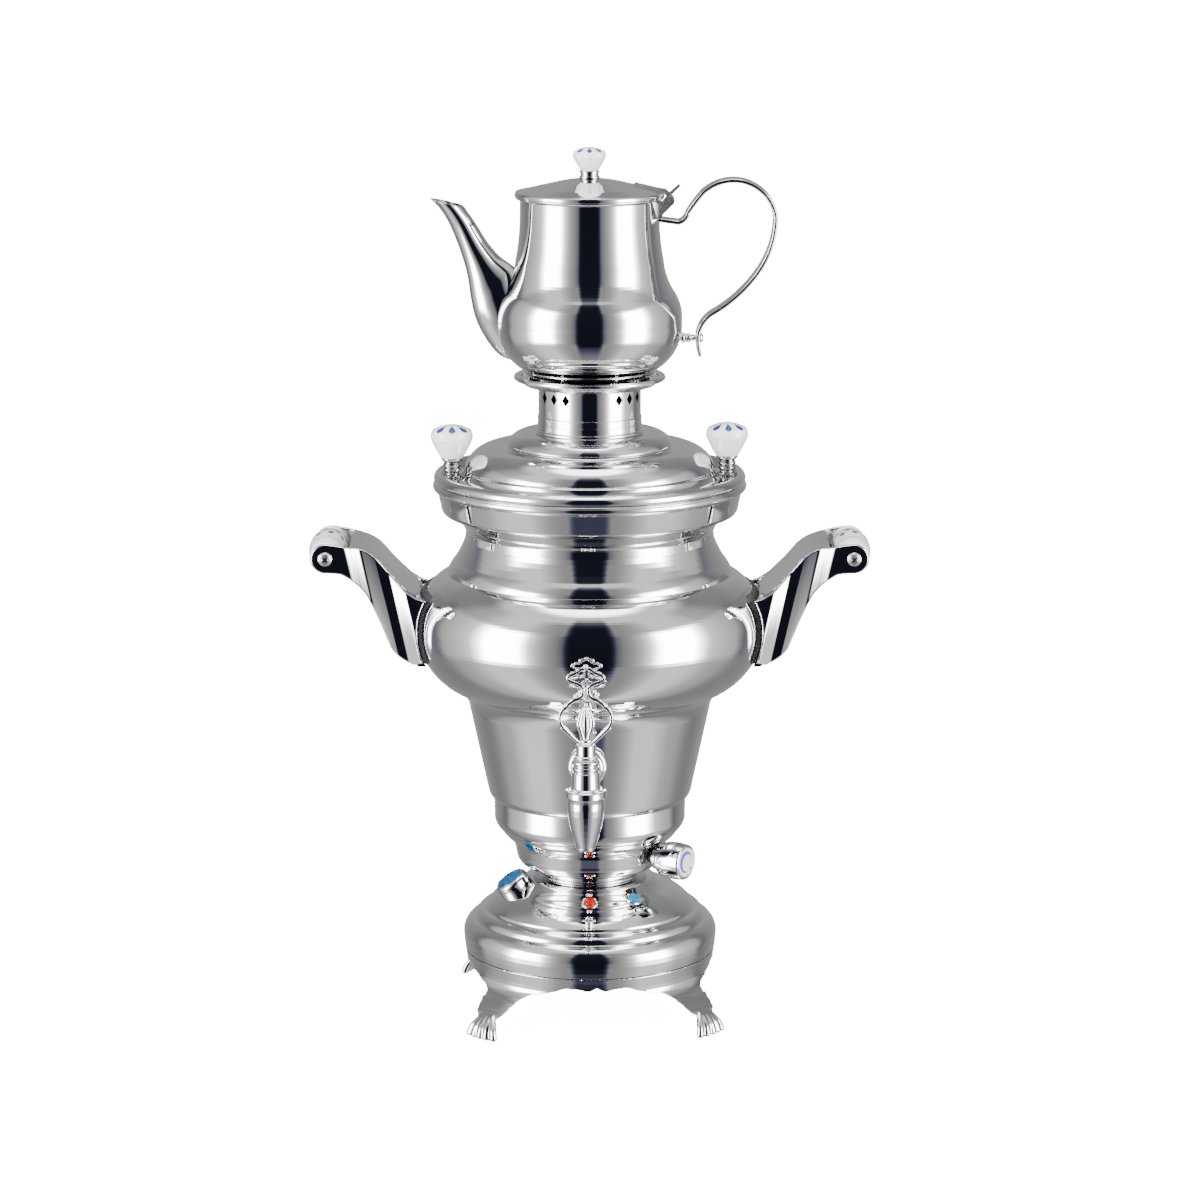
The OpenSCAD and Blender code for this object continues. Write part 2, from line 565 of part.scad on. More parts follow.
module grip() {
    half = grip_l / 2;
    end_r = grip_r - 1.9;
    translate([grip_x, 0, grip_z]) rotate([90, 0, 0]) spun(
        [
            [end_r - 0.8, -half, 0.3], [end_r, -half + 1.2], [end_r, -half + 4.6, 0.3], [end_r - 1.2, -half + 5.8],
            [end_r - 1.2, -half + 6.6, 0.1], [grip_r, 0, 0.1], [end_r - 1.2, half - 6.6], [end_r - 1.2, half - 5.8, 0.3],
            [end_r, half - 4.6], [end_r, half - 1.2, 0.3], [end_r - 0.8, half]
        ],
        [[grip_bolt_r + 0.1, -half], [grip_bolt_r + 0.1, half]]
    );
}
module grip_right() color("white") grip();
module grip_left() color("white") mirror([1, 0, 0]) grip();
module grip_bolts() color("silver") both_sides() translate([grip_x, 0, grip_z]) rotate([90, 0, 0]) {
    cylinder(h = handle_w, r = grip_bolt_r, center = true, $fn = 48);
    for (s = [0, 180]) rotate([0, s, 0]) translate([0, 0, handle_w / 2])
        spun([[0, 0], [4, 0], [4, 0.8, 0.3], [2.6, 2.2, 0.15], [0, 2.6]]);
}

// ---- Tap: a barrel through the wall, a bell with the plug's bore, and a tapered nozzle ----
// Radius of the body's cone at the tap's barrel
function cone_at(z) = waist_r + (cone_r - waist_r) * (z - waist_z) / (belly_z - 11.5 - waist_z);
tap_wall = cone_at(tap_z);
nozzle_z = tap_z - 46.5;
bell_top = tap_z + 7.5;
plug_z = tap_z - 12.5;
flange_y = tap_wall + 3.2;
module at_tap() {
    turned(tap_angle) translate([0, -tap_y, 0]) children();
}
module at_barrel() {
    turned(tap_angle) translate([0, 0, tap_z]) rotate([90, 0, 0]) children();
}
module tap_body() color("lightsteelblue") difference() {
    union() {
        at_tap() spun([
            [0, nozzle_z], [outlet_r + 1, nozzle_z, 0.2], [outlet_r + 1.5, nozzle_z + 1.2], [9.7, tap_z - 26.5, 0.04],
            [11.4, plug_z - 5, 0.2], [12, plug_z - 4], [12, plug_z - 1, 0.3], [10.2, plug_z + 0.6, -0.2],
            [9.2, plug_z + 2], [9.2, tap_z - 3, 0.12], [8.6, tap_z + 2, -0.2], [7.8, tap_z + 3.5], [8.2, tap_z + 5, 0.4],
            [7.8, bell_top], [0, bell_top]
        ]);
        at_barrel() {
            translate([0, 0, flange_y]) cylinder(h = tap_y - flange_y, r = 6.4);
            translate([0, 0, flange_y]) spun([[0, 0], [10.6, 0], [10.6, 1.6, 0.25], [8.6, 3.2, -0.2], [6.2, 6], [0, 6]]);
            translate([0, 0, tap_wall - 14]) cylinder(h = 18, r = tap_bore);
        }
    }
    at_tap() translate([0, 0, plug_z]) cylinder(h = 60, r = plug_r + run_gap);
    at_tap() translate([0, 0, nozzle_z - 1]) cylinder(h = plug_z - nozzle_z + 2, r = outlet_r, $fn = 48);
    at_barrel() translate([0, 0, tap_wall - 20]) cylinder(h = tap_y - tap_wall + 20, r = outlet_r, $fn = 48);
}
module tap_gasket() color("black") difference() {
    at_barrel() translate([0, 0, tap_wall - 4]) cylinder(h = flange_y - tap_wall + 4, r = 10.2);
    spun([[waist_r + 0.05, waist_z], [cone_r + 0.05, belly_z - 11.5]], [[0, waist_z], [0, belly_z - 11.5]]);
    at_barrel() translate([0, 0, tap_wall - 5]) cylinder(h = 12, r = tap_bore);
}
module tap_nut() color("gray") at_barrel() translate([0, 0, tap_wall - sheet - 7.4]) difference() {
    cylinder(h = 4.5, r = 12, $fn = 6);
    translate([0, 0, -1]) cylinder(h = 8, r = tap_bore);
}
bow_t = 4.4;
bow_z = bell_top + 9.5;
lantern_keys = [[3, -3, -0.1], [11.4, 5.4, 0.12], [14, 14, 0.05], [13.9, 17.5, 0.4], [8.8, 21.6, -0.12], [1.8, 30]];
loop_keys = [[1.4, 31, -0.15], [7, 33.6, 0.25], [9.7, 37.7, 0.3], [6.4, 41.6], [1, 44]];
bud_keys = [[2.6, -3, -0.1], [3, 4.6, 0.1], [6.6, 15.5, 0.3], [3, 20.4, -0.15], [0, 24.4]];
module bow_shape() {
    both_sides() {
        ribbon(lantern_keys, 3.2);
        ribbon(loop_keys, 2.9);
        polygon(outline(concat([[-0.2, -3]], bud_keys, [[-0.2, 24.4]])));
    }
    translate([0, 44.6]) circle(r = 2.6, $fn = 48);
    translate([-2.8, -4]) square([5.6, 6]);
    translate([-2, 27]) square([4, 6]);
}
module tap_key() color("lightsteelblue") at_tap() {
    difference() {
        translate([0, 0, plug_z + 0.3]) cylinder(h = bell_top - plug_z + 2, r = plug_r);
        translate([0, 0, tap_z]) rotate([0, 90, 0]) cylinder(h = far, r = outlet_r, $fn = 48);
        translate([0, 0, plug_z - 1]) cylinder(h = tap_z - plug_z + 1, r = outlet_r, $fn = 48);
    }
    translate([0, 0, bell_top + seat_gap]) spun([
        [0, 0], [7.4, 0, 0.3], [7.4, 1.8, -0.2], [6.4, 2.8], [6.4, 7.6, 0.3], [5, 9.2, -0.1], [3.4, 10.5], [0, 10.5]
    ]);
    translate([0, 0, bow_z]) upright(bow_t) bow_shape();
}

// ---- Cover with its knobs, crown and saucer ----
cover_turn = 3;
brim_z = cover_z + 1.6;
lip_r = rim_r - sheet - 3.6;
steam_r = crown_r - 4;
cover_keys = [
    [rim_r - 0.3, cover_z], [rim_r, cover_z + 1.2, 0.35], [rim_r - 3.4, cover_z + 5.4, 0.3], [rim_r - 5.8, brim_z + 1, -0.2],
    [rim_r - 6.4, brim_z], [cover_dome_r + 2.6, brim_z, -0.3], [cover_dome_r, brim_z + 6, 0.48],
    [tier_r - 0.9, cover_z + cover_h - 9.4, -0.2], [tier_r - 0.9, cover_z + cover_h - 7.2],
    [tier_r, cover_z + cover_h - 6, 0.45], [crown_r + 1.2, crown_z], [steam_r, crown_z]
];
cover_lining = [
    [rim_r - 6.4, brim_z], [cover_dome_r + 2.6, brim_z, -0.3], [cover_dome_r, brim_z + 6, 0.48],
    [tier_r - 0.4, cover_z + cover_h - 9.4], [tier_r - 0.9, cover_z + cover_h - 5, 0.4],
    [crown_r + 1.2, crown_z], [steam_r, crown_z]
];
module cover() color("gainsboro") difference() {
    union() {
        spun(cover_keys, concat([[rim_r - 4.6, cover_z]], moved(cover_lining, sheet)));
        spun([[lip_r - sheet, cover_z - 6], [lip_r, cover_z - 6], [lip_r, brim_z - 0.5]],
             [[lip_r - sheet, cover_z - 6], [lip_r - sheet, brim_z - 0.5]]);
    }
    turned(cover_turn) both_sides() translate([knob_at, 0, cover_z - 5]) cylinder(h = 20, r = 1.6, $fn = 32);
}
module cover_gasket() color("dimgray")
    spun([[rim_r - 4.8, rim_z], [rim_r - 2, rim_z], [rim_r - 2, cover_z]], [[rim_r - 4.8, rim_z], [rim_r - 4.8, cover_z]]);
module at_knobs() {
    turned(cover_turn) both_sides() translate([knob_at, 0, brim_z]) children();
}
stem_h = 11.6;
module cover_knob_stems() color("gold") at_knobs() {
    spun([[0, 0], [4.5, 0], [4.5, 1.4, 0.2], [4.3, 2.6, -0.15], [4.5, 9, 0.1], [6, stem_h - 1.4], [6, stem_h], [0, stem_h]]);
    translate([0, 0, -sheet - 2.4]) cylinder(h = 2.4, r = 3, $fn = 6);
    translate([0, 0, -sheet - 4]) cylinder(h = stem_h + sheet + 12, r = 1.5, $fn = 32);
}
function knob_keys(r, h) = [
    [0, 0], [r * 0.48, 0, 0.1], [r * 0.52, h * 0.04, -0.1], [r * 0.62, h * 0.24, 0.1], [r, h * 0.70, 0.45],
    [r * 0.42, h * 0.98, 0.08], [0, h]
];
module cover_knobs() color("white") at_knobs() translate([0, 0, stem_h]) difference() {
    spun(knob_keys(knob_r, knob_h));
    translate([0, 0, -1]) cylinder(h = 9.2, r = 1.5, $fn = 32);
}
vent_z = saucer_z - 3.8;
vent_angles = [for (a = [30, 46.5, 63]) each [a, -a, 180 - a, 180 + a]];
module crown() color("gainsboro") difference() {
    spun(
        [[steam_r - 0.1, crown_z - 3], [steam_r - 0.1, crown_z], [crown_r + 0.9, crown_z, 0.35],
         [crown_r + 0.9, crown_z + 3], [crown_r + 0.5, crown_z + 3.2], [crown_r + 0.5, crown_z + 6, 0.2],
         [crown_r + 0.3, crown_z + 7.2], [crown_r + 0.5, crown_z + 10.4, 0.2], [crown_r, crown_z + 11.4],
         [crown_r, saucer_z]],
        [[steam_r - 1.1, crown_z - 3], [steam_r - 1.1, crown_z + 1], [crown_r - sheet, crown_z + 4], [crown_r - sheet, saucer_z]]
    );
    for (a = vent_angles) turned(a) translate([0, 0, vent_z]) rotate([90, 0, 0]) linear_extrude(far)
        polygon([[-2.6, 0], [0, -vent_h / 2], [2.6, 0], [0, vent_h / 2]]);
}
saucer_keys = [
    [crown_r - 3.4, saucer_z], [crown_r + 0.4, saucer_z], [crown_r + 8, saucer_z + 2.2, -0.15], [saucer_r - 1.4, saucer_z + 5, 0.9],
    [saucer_r - 1.4, saucer_z + 8.2]
];
saucer_lining = [
    [crown_r - 3.4, saucer_z + 1.6], [crown_r + 0.4, saucer_z + 1.6], [crown_r + 7.4, saucer_z + 3.6, -0.1],
    [saucer_r - 4.4, saucer_z + saucer_rise - 1.2], [saucer_r - 4.4, saucer_z + 7.6]
];
module crown_saucer() color("gainsboro") difference() {
    union() {
        spun(saucer_keys, saucer_lining);
        spun([[crown_r - 3.4, saucer_z], [crown_r - 1.6, saucer_z], [crown_r - 1.6, saucer_z + 1]],
             [[crown_r - 3.4, saucer_z], [crown_r - 3.4, saucer_z + 1]]);
        for (k = [0:5]) turned(60 * k + 30) translate([-1, -crown_r - 5.6, saucer_z + 0.8])
            cube([2, 9, saucer_rise - 0.8]);
    }
    for (k = [0:5]) turned(60 * k) translate([0, -crown_r - 4.4, saucer_z - 1]) cylinder(h = 6, r = 1.8, $fn = 32);
}

// ---- Teapot: spun body, curved spout, strap handle, and a lid on a hinge ----
pot_keys = [
    [0, pot_z], [pot_foot_r - 2.5, pot_z], [pot_foot_r + 1, pot_z + 1.1, 0.3], [pot_foot_r + 3.5, pot_z + 4, 0.3],
    [pot_r, pot_z + 31, 0.2], [pot_r - 4.9, pot_z + 48.5, -0.22], [mouth_r + 0.2, mouth_z - 30.5], [mouth_r, mouth_z - 0.5, 0.4],
    [mouth_r - 0.5, mouth_z]
];
pot_lining = [
    [0, pot_z], [pot_foot_r - 2.5, pot_z], [pot_foot_r + 1, pot_z + 1.1], [pot_foot_r + 3.5, pot_z + 4, 0.3],
    [pot_r, pot_z + 31, 0.2], [pot_r - 4.9, pot_z + 48.5, -0.22], [mouth_r + 0.2, mouth_z - 30.5], [mouth_r, mouth_z]
];
sieve_z = pot_z + 33;
module teapot_body() color("gainsboro") difference() {
    spun(pot_keys, moved(pot_lining, pot_wall));
    for (z = [-1:1]) for (y = [-1:1]) translate([-10, y * 5.2, sieve_z + z * 6]) rotate([0, -90, 0])
        cylinder(h = far, r = 1.7, $fn = 32);
    translate([10, 0, stud_z]) rotate([0, 90, 0]) cylinder(h = far, r = 1.6, $fn = 32);
}
// Stations of the spout: [outer x, outer z, inner x, inner z, half width]
spout_stations = [
    [-42, 8, -36, 52, 10.5], [-52.5, 11.6, -40, 57, 11.2], [-60.7, 21.2, -42, 60.5, 11.4],
    [-66.6, 32.6, -44, 64, 11], [-69.6, 44.5, -47.4, 66.8, 10.2], [-71.8, 59.5, -53, 71, 9.3],
    [-75.6, 73, -60, 79.4, 8.5], [-81.7, 88.6, -66.9, 90.6, 8], [-87.6, 98.4, -70.6, 95.8, 8.1],
    [-93.2, 104.2, -73.4, 99.8, 8.4]
];
function spout_ring(s, t) =
    let (
        low = [s[0], s[1]],
        high = [s[2], s[3]],
        middle = (low + high) / 2,
        half = (high - low) / 2,
        k = (norm(half) - t) / norm(half)
    )
    [for (a = [0:15:345]) [
        middle[0] + half[0] * k * cos(a),
        (s[4] - t) * sin(a),
        pot_z + middle[1] + half[1] * k * cos(a)
    ]];
module teapot_spout() color("gainsboro") difference() {
    skinned([for (s = spout_stations) spout_ring(s, 0)]);
    skinned([for (i = [0:len(spout_stations) - 1])
        let (s = spout_stations[i], d = i == 0 ? [4, -1.5, 4, -1.5] : i == len(spout_stations) - 1 ? [-2, 1.6, -2, 1.6] : [0, 0, 0, 0])
        spout_ring([s[0] + d[0], s[1] + d[1], s[2] + d[2], s[3] + d[3], s[4]], pot_wall)]);
    spun(concat(pot_keys, [[0, mouth_z]]));
}
// The strap's middle line, from the neck under the mouth round to its tail behind the stud
strap_keys = [
    [mouth_r - 1, mouth_z - 11.5], [mouth_r + 11.2, mouth_z - 13.2, 0.3], [mouth_r + 16.6, mouth_z - 7.2, -0.04],
    [mouth_r + 25.4, mouth_z + 4.4, -0.19], [pot_r + 29.9, mouth_z + 11.3, -0.38], [pot_r + 54.3, mouth_z - 10.7, -0.15],
    [pot_r + 44, pot_z + 61.6, -0.11], [pot_r + 17.2, pot_z + 37.2, 0.22], [pot_r + 9.2, pot_z + 24.4, 0.08],
    [pot_r + 10.6, pot_z + 11.8]
];
stud_z = pot_z + 22.4;
module pot_solid() {
    spun(concat(pot_keys, [[0, mouth_z]]));
}
module teapot_handle() color("lightsteelblue") difference() {
    upright(strap_w) ribbon(strap_keys, strap_t);
    pot_solid();
    translate([pot_r, 0, stud_z]) rotate([0, 90, 0]) cylinder(h = 20, r = 1.6, $fn = 32);
}
module handle_stud() color("lightsteelblue") translate([0, 0, stud_z]) rotate([0, 90, 0]) {
    translate([0, 0, pot_r - 5]) cylinder(h = 18.4, r = 1.55, $fn = 32);
    translate([0, 0, pot_r - 0.3]) spun([[0, 0], [3.2, 0, 0.2], [2.8, 1.6], [2, 2.2, 0.4], [2, 5.6], [1.8, 7.2], [0, 7.2]]);
    translate([0, 0, pot_r + 10.9]) spun([[0, 0], [3, 0, 0.3], [1.4, 1.6], [0, 1.8]]);
    translate([0, 0, pot_r - 7]) cylinder(h = 2.4, r = 3.2, $fn = 6);
}
hinge_x = mouth_r + 6.3;
hinge_z = mouth_z - 0.5;
knuckle_r = 2.6;
bracket_w = 15;
leaf_w = 6.6;
module at_hinge(width) {
    translate([hinge_x, 0, hinge_z]) rotate([90, 0, 0]) linear_extrude(width, center = true) children();
}
module hinge_bracket() color("lightsteelblue") difference() {
    union() {
        translate([mouth_r - 2, -bracket_w / 2, hinge_z - 9.2]) cube([3.6, bracket_w, 8]);
        at_hinge(bracket_w) polygon([[-5.4, -7.5], [-4.7, -8.4], [1.6, -2.1], [-1.6, 2.1], [-5.4, -2.2]]);
        at_hinge(bracket_w) circle(r = knuckle_r, $fn = 48);
    }
    pot_solid();
    at_hinge(leaf_w + 0.6) circle(r = knuckle_r + 0.5, $fn = 48);
    at_hinge(far) circle(r = lid_pin_r + 0.02, $fn = 48);
}
module hinge_pin() color("silver") at_hinge(bracket_w + 1) circle(r = lid_pin_r, $fn = 48);
lid_keys = [
    [mouth_r - 2.9, pot_lid_z - 5], [mouth_r - 1.8, pot_lid_z - 5], [mouth_r - 1.8, pot_lid_z],
    [mouth_r + 2.1, pot_lid_z, 0.3], [mouth_r + 2.9, pot_lid_z + 1.3, 0.3], [mouth_r + 2.5, pot_lid_z + 4.2],
    [mouth_r - 0.3, pot_lid_z + 4.5, 0.02], [mouth_r - 16.8, pot_lid_z + 8.6, 0.06], [0, pot_lid_z + pot_lid_h]
];
lid_lining = [
    [mouth_r - 2.9, pot_lid_z - 5], [mouth_r - 2.9, pot_lid_z + 3.3, 0.02],
    [mouth_r - 16.8, pot_lid_z + 7.5, 0.06], [0, pot_lid_z + pot_lid_h - 1.1]
];
module teapot_lid() color("gainsboro") difference() {
    spun(lid_keys, lid_lining);
    translate([0, 0, pot_lid_z]) cylinder(h = 30, r = 1.6, $fn = 32);
    for (s = [-1, 1]) translate([-20, s * 8, pot_lid_z]) cylinder(h = 30, r = 1.2, $fn = 32);
}
module lid_leaf() color("lightsteelblue") difference() {
    union() {
        at_hinge(leaf_w) circle(r = knuckle_r, $fn = 48);
        at_hinge(leaf_w) polygon([
            [-21, 8.2], [-6.6, 4.6], [-3.6, 4.6], [-2.6, 2.4], [-1.8, 0.6], [1.4, 1.6], [0.8, 3.2],
            [5.9, 8.3], [5, 9.2], [-0.4, 4.4], [-2.4, 6.4], [-6.2, 6.9], [-21, 10.3]
        ]);
    }
    spun(concat(lid_keys, [[0, pot_lid_z - 5]]));
    at_hinge(far) circle(r = lid_pin_r + run_gap, $fn = 48);
}
ferrule_h = 4.2;
module lid_ferrule() color("lightsteelblue") translate([0, 0, pot_lid_z + pot_lid_h]) {
    spun([[0, 0], [6.4, 0, 0.2], [6, 1.6], [5.4, 2.2, -0.2], [5.9, ferrule_h], [0, ferrule_h]]);
    translate([0, 0, -4]) cylinder(h = ferrule_h + 14, r = 1.5, $fn = 32);
    translate([0, 0, -4]) cylinder(h = 2.4, r = 3.2, $fn = 6);
}
module lid_knob() color("white") translate([0, 0, pot_lid_z + pot_lid_h + ferrule_h]) difference() {
    spun(knob_keys(10.2, 13.6));
    translate([0, 0, -1]) cylinder(h = 11.2, r = 1.5, $fn = 32);
}

foot_ring();
bottom_plate();
bottom_screws();
base_shell();
neck_collar();
tie_rod();
tie_nuts();
body_shell();
tank_floor();
element_gasket();
heating_element();
element_nut();
thermal_cutout();
thermostat();
thermostat_nut();
thermostat_knob();
dial_insert();
switch_bezel();
switch_rocker();
red_lamp();
blue_lamp();
power_inlet();
inlet_pins();
handle_left();
handle_right();
handle_gaskets();
handle_nuts();
grip_left();
grip_right();
grip_bolts();
tap_body();
tap_gasket();
tap_nut();
tap_key();
cover();
cover_gasket();
cover_knob_stems();
cover_knobs();
crown();
crown_saucer();
teapot_body();
teapot_spout();
teapot_handle();
handle_stud();
hinge_bracket();
hinge_pin();
teapot_lid();
lid_leaf();
lid_ferrule();
lid_knob();
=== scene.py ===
import bpy, bmesh, json, math
from mathutils import Vector, Matrix


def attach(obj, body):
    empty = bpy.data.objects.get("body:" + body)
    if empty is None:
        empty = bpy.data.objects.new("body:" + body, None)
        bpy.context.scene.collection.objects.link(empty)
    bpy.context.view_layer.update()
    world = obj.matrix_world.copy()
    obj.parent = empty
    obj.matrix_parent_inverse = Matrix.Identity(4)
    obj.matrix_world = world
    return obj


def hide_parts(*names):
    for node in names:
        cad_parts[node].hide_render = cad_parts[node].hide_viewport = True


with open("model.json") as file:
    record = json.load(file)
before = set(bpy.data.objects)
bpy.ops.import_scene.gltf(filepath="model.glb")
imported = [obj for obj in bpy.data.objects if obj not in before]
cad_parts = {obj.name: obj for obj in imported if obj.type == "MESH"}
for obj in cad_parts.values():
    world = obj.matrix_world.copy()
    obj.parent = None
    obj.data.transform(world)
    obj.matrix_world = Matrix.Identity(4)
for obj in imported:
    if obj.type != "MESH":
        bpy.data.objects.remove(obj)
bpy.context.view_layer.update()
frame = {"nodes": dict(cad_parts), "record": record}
NODE = frame["nodes"]
MM = 0.001

# ---------------------------------------------------------------- sizes, in mm
# Base and its foot ring
base_r, seam_z, dome_h, toe_reach, base_turn = 75.6, 37, 45.5, 98, 3.3
foot_wall, sheet = 3.2, 1.2
# Vessel, from the neck up to the rim
neck_r, neck_h, cup_r, bowl_r, bowl_h, waist_r = 29, 5, 38, 57.4, 46.7, 60.9
cone_r, cone_h, belly_r, belly_h = 71.8, 62.3, 104, 71
throat_r, throat_h, rim_r, band_h = 73.6, 36, 92.4, 19.3
# Cover with its knobs, crown and saucer
cover_dome_r, tier_r, cover_h, cover_turn = 74.2, 49.3, 27.3, 3
knob_r, knob_h, knob_at = 13, 20, 81.5
crown_r, crown_h, vent_h = 30.3, 27.1, 7.2
saucer_r, saucer_rise = 44.8, 7
# Teapot
pot_r, pot_foot_r, mouth_r, pot_h, pot_wall = 54.4, 35.5, 40.8, 104, 1.1
pot_lid_h, strap_w, strap_t = 12.2, 15, 3
# Side handles
grip_x, grip_z, handle_w, cheek_t, grip_r = 155.4, 280.4, 62, 3.6, 11.4
gasket_t, flange_t, web_t, ear_r, grip_bolt_r = 1.5, 4, 2.6, 8.8, 2.2
# Tap; its barrel enters the bell below tap_z
tap_z, tap_y, plug_r, outlet_r, tap_angle = 174, 116, 6, 3.75, -1
# Controls, placed by their turn from the front, in degrees
thermostat_turn, dial_r, dial_h = 57, 10.7, 17
control_r, switch_turn, lamp_turn, bezel_r, lens_r = 45.5, -77, 35, 10.4, 3.4
# Play under the cover, the teapot and its lid
seat_gap = 0.3
neck_z = seam_z + dome_h
bowl_z = neck_z + neck_h
waist_z = bowl_z + bowl_h
belly_z = waist_z + cone_h
throat_z = belly_z + belly_h
band_z = throat_z + throat_h
rim_z = band_z + band_h
cover_z = rim_z + seat_gap
crown_z = cover_z + cover_h
saucer_z = crown_z + crown_h
pot_z = saucer_z + saucer_rise + seat_gap
mouth_z = pot_z + pot_h
pot_lid_z = mouth_z + seat_gap
brim_z = cover_z + 1.6

# ---------------------------------------------------------------- outlines
def key(p):
    return (p[0], p[1], p[2] if len(p) > 2 else 0)

def arcs(keys, step=3.0):
    """Points along a path of keys (x, z, bulge), where bulge is tan(sweep / 4)."""
    out = []
    keys = [key(k) for k in keys]
    for i, (x, z, b) in enumerate(keys):
        out.append((x, z))
        if not b or i + 1 == len(keys):
            continue
        x1, z1, _ = keys[i + 1]
        dx, dz = x1 - x, z1 - z
        chord = math.hypot(dx, dz)
        sweep = 4 * math.atan(b)
        rad = chord / (2 * math.sin(sweep / 2))
        cx = (x + x1) / 2 - dz / chord * rad * math.cos(sweep / 2)
        cz = (z + z1) / 2 + dx / chord * rad * math.cos(sweep / 2)
        a0 = math.atan2(z - cz, x - cx)
        n = max(2, math.ceil(abs(math.degrees(sweep)) / step))
        out += [(cx + abs(rad) * math.cos(a0 + sweep * j / n),
                 cz + abs(rad) * math.sin(a0 + sweep * j / n)) for j in range(1, n)]
    return out

def moved(keys, d):
    """The same keys moved to the left of their walk by d."""
    keys = [key(k) for k in keys]
    def left(a):
        return (-math.sin(a), math.cos(a))
    def head(p, q):
        return math.atan2(q[1] - p[1], q[0] - p[0])
    out, last = [], len(keys) - 1
    for i, k in enumerate(keys):
        a = left(head(keys[i - 1], k) + 2 * math.atan(keys[i - 1][2])) if i else None
        b = left(head(k, keys[i + 1]) - 2 * math.atan(k[2])) if i < last else None
        a, b = a or b, b or a
        m = (a[0] + b[0], a[1] + b[1])
        n = math.hypot(*m)
        m = (m[0] / n, m[1] / n)
        s = m[0] * a[0] + m[1] * a[1]
        out.append((k[0] + d * m[0] / s, k[1] + d * m[1] / s, k[2]))
    return out

def eased(pts, radius=0.4, closed=False, corner=14, steps=4):
    """Rounds the corners of a polyline that turn by more than a few degrees."""
    pts = [p for i, p in enumerate(pts) if i == 0 or math.dist(p, pts[i - 1]) > 1e-4]
    n = len(pts)
    out = []
    for i, p in enumerate(pts):
        if not closed and i in (0, n - 1):
            out.append(p)
            continue
        a, b = pts[i - 1], pts[(i + 1) % n]
        la, lb = math.dist(a, p), math.dist(b, p)
        ua, ub = ((a[0] - p[0]) / la, (a[1] - p[1]) / la), ((b[0] - p[0]) / lb, (b[1] - p[1]) / lb)
        turn = math.pi - math.acos(max(-1, min(1, ua[0] * ub[0] + ua[1] * ub[1])))
        if math.degrees(turn) < corner:
            out.append(p)
            continue
        t = min(radius * math.tan(turn / 2), 0.45 * la, 0.45 * lb)
        s, e = (p[0] + ua[0] * t, p[1] + ua[1] * t), (p[0] + ub[0] * t, p[1] + ub[1] * t)
        for j in range(steps + 1):
            u = j / steps
            out.append(tuple((1 - u) ** 2 * s[c] + 2 * u * (1 - u) * p[c] + u * u * e[c] for c in (0, 1)))
    return out

def framed(pts, longest=4.0, near=0.35, closed=False):
    """Splits long straight steps and sets a point close to each of their ends, so that shading stays true."""
    out = []
    n = len(pts)
    for i in range(n if closed else n - 1):
        p, q = pts[i], pts[(i + 1) % n]
        out.append(p)
        d = math.dist(p, q)
        if d > 3 * near:
            start, run = near / d, 1 - 2 * near / d
            m = max(1, math.ceil((d - 2 * near) / longest))
            cuts = [start + run * k / m for k in range(m)] + [1 - start]
            out += [(p[0] + (q[0] - p[0]) * c, p[1] + (q[1] - p[1]) * c) for c in cuts]
    if not closed:
        out.append(pts[-1])
    return out

# ---------------------------------------------------------------- meshes
def blended(rows, per=6):
    """A smooth curve through the rows, each a tuple of numbers."""
    out = []
    n = len(rows)
    for i in range(n - 1):
        p0, p1, p2, p3 = rows[max(i - 1, 0)], rows[i], rows[i + 1], rows[min(i + 2, n - 1)]
        for j in range(per):
            t = j / per
            out.append(tuple(0.5 * (2 * b + (c - a) * t + (2 * a - 5 * b + 4 * c - d) * t * t
                                    + (3 * b - a - 3 * c + d) * t ** 3)
                             for a, b, c, d in zip(p0, p1, p2, p3)))
    return out + [rows[-1]]

def loose(name, data, matrix=None):
    """A new object in metres from (points in mm, faces), with its faces turned outwards."""
    mesh = bpy.data.meshes.new(name)
    mesh.from_pydata([Vector(v) * MM for v in data[0]], [], data[1])
    mesh.validate()
    if matrix is not None:
        mesh.transform(matrix)
    bm = bmesh.new()
    bm.from_mesh(mesh)
    bmesh.ops.remove_doubles(bm, verts=bm.verts, dist=1e-7)
    bmesh.ops.recalc_face_normals(bm, faces=bm.faces)
    bm.to_mesh(mesh)
    bm.free()
    obj = bpy.data.objects.new(name, mesh)
    bpy.context.scene.collection.objects.link(obj)
    return obj

def dress(obj, mat, body, node=None, sharp=None):
    """Gives an object its shading and material and its body, and hides the CAD node that it stands for."""
    mesh = obj.data
    mesh.polygons.foreach_set("use_smooth", [True] * len(mesh.polygons))
    if sharp:
        mesh.set_sharp_from_angle(angle=math.radians(sharp))
    mesh.materials.clear()
    mesh.materials.append(mat)
    if node:
        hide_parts(node)
    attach(obj, body)
    return obj

def build(name, verts, faces, mat, body, node=None, sharp=40, matrix=None):
    return dress(loose(name, (verts, faces), matrix), mat, body, node, sharp)

def spin(degrees, axis="Z"):
    return Matrix.Rotation(math.radians(degrees), 4, axis)

def place(turn=0, at=(0, 0, 0), tilt=0, axis="X"):
    return spin(turn) @ Matrix.Translation(Vector(at) * MM) @ spin(tilt, axis)

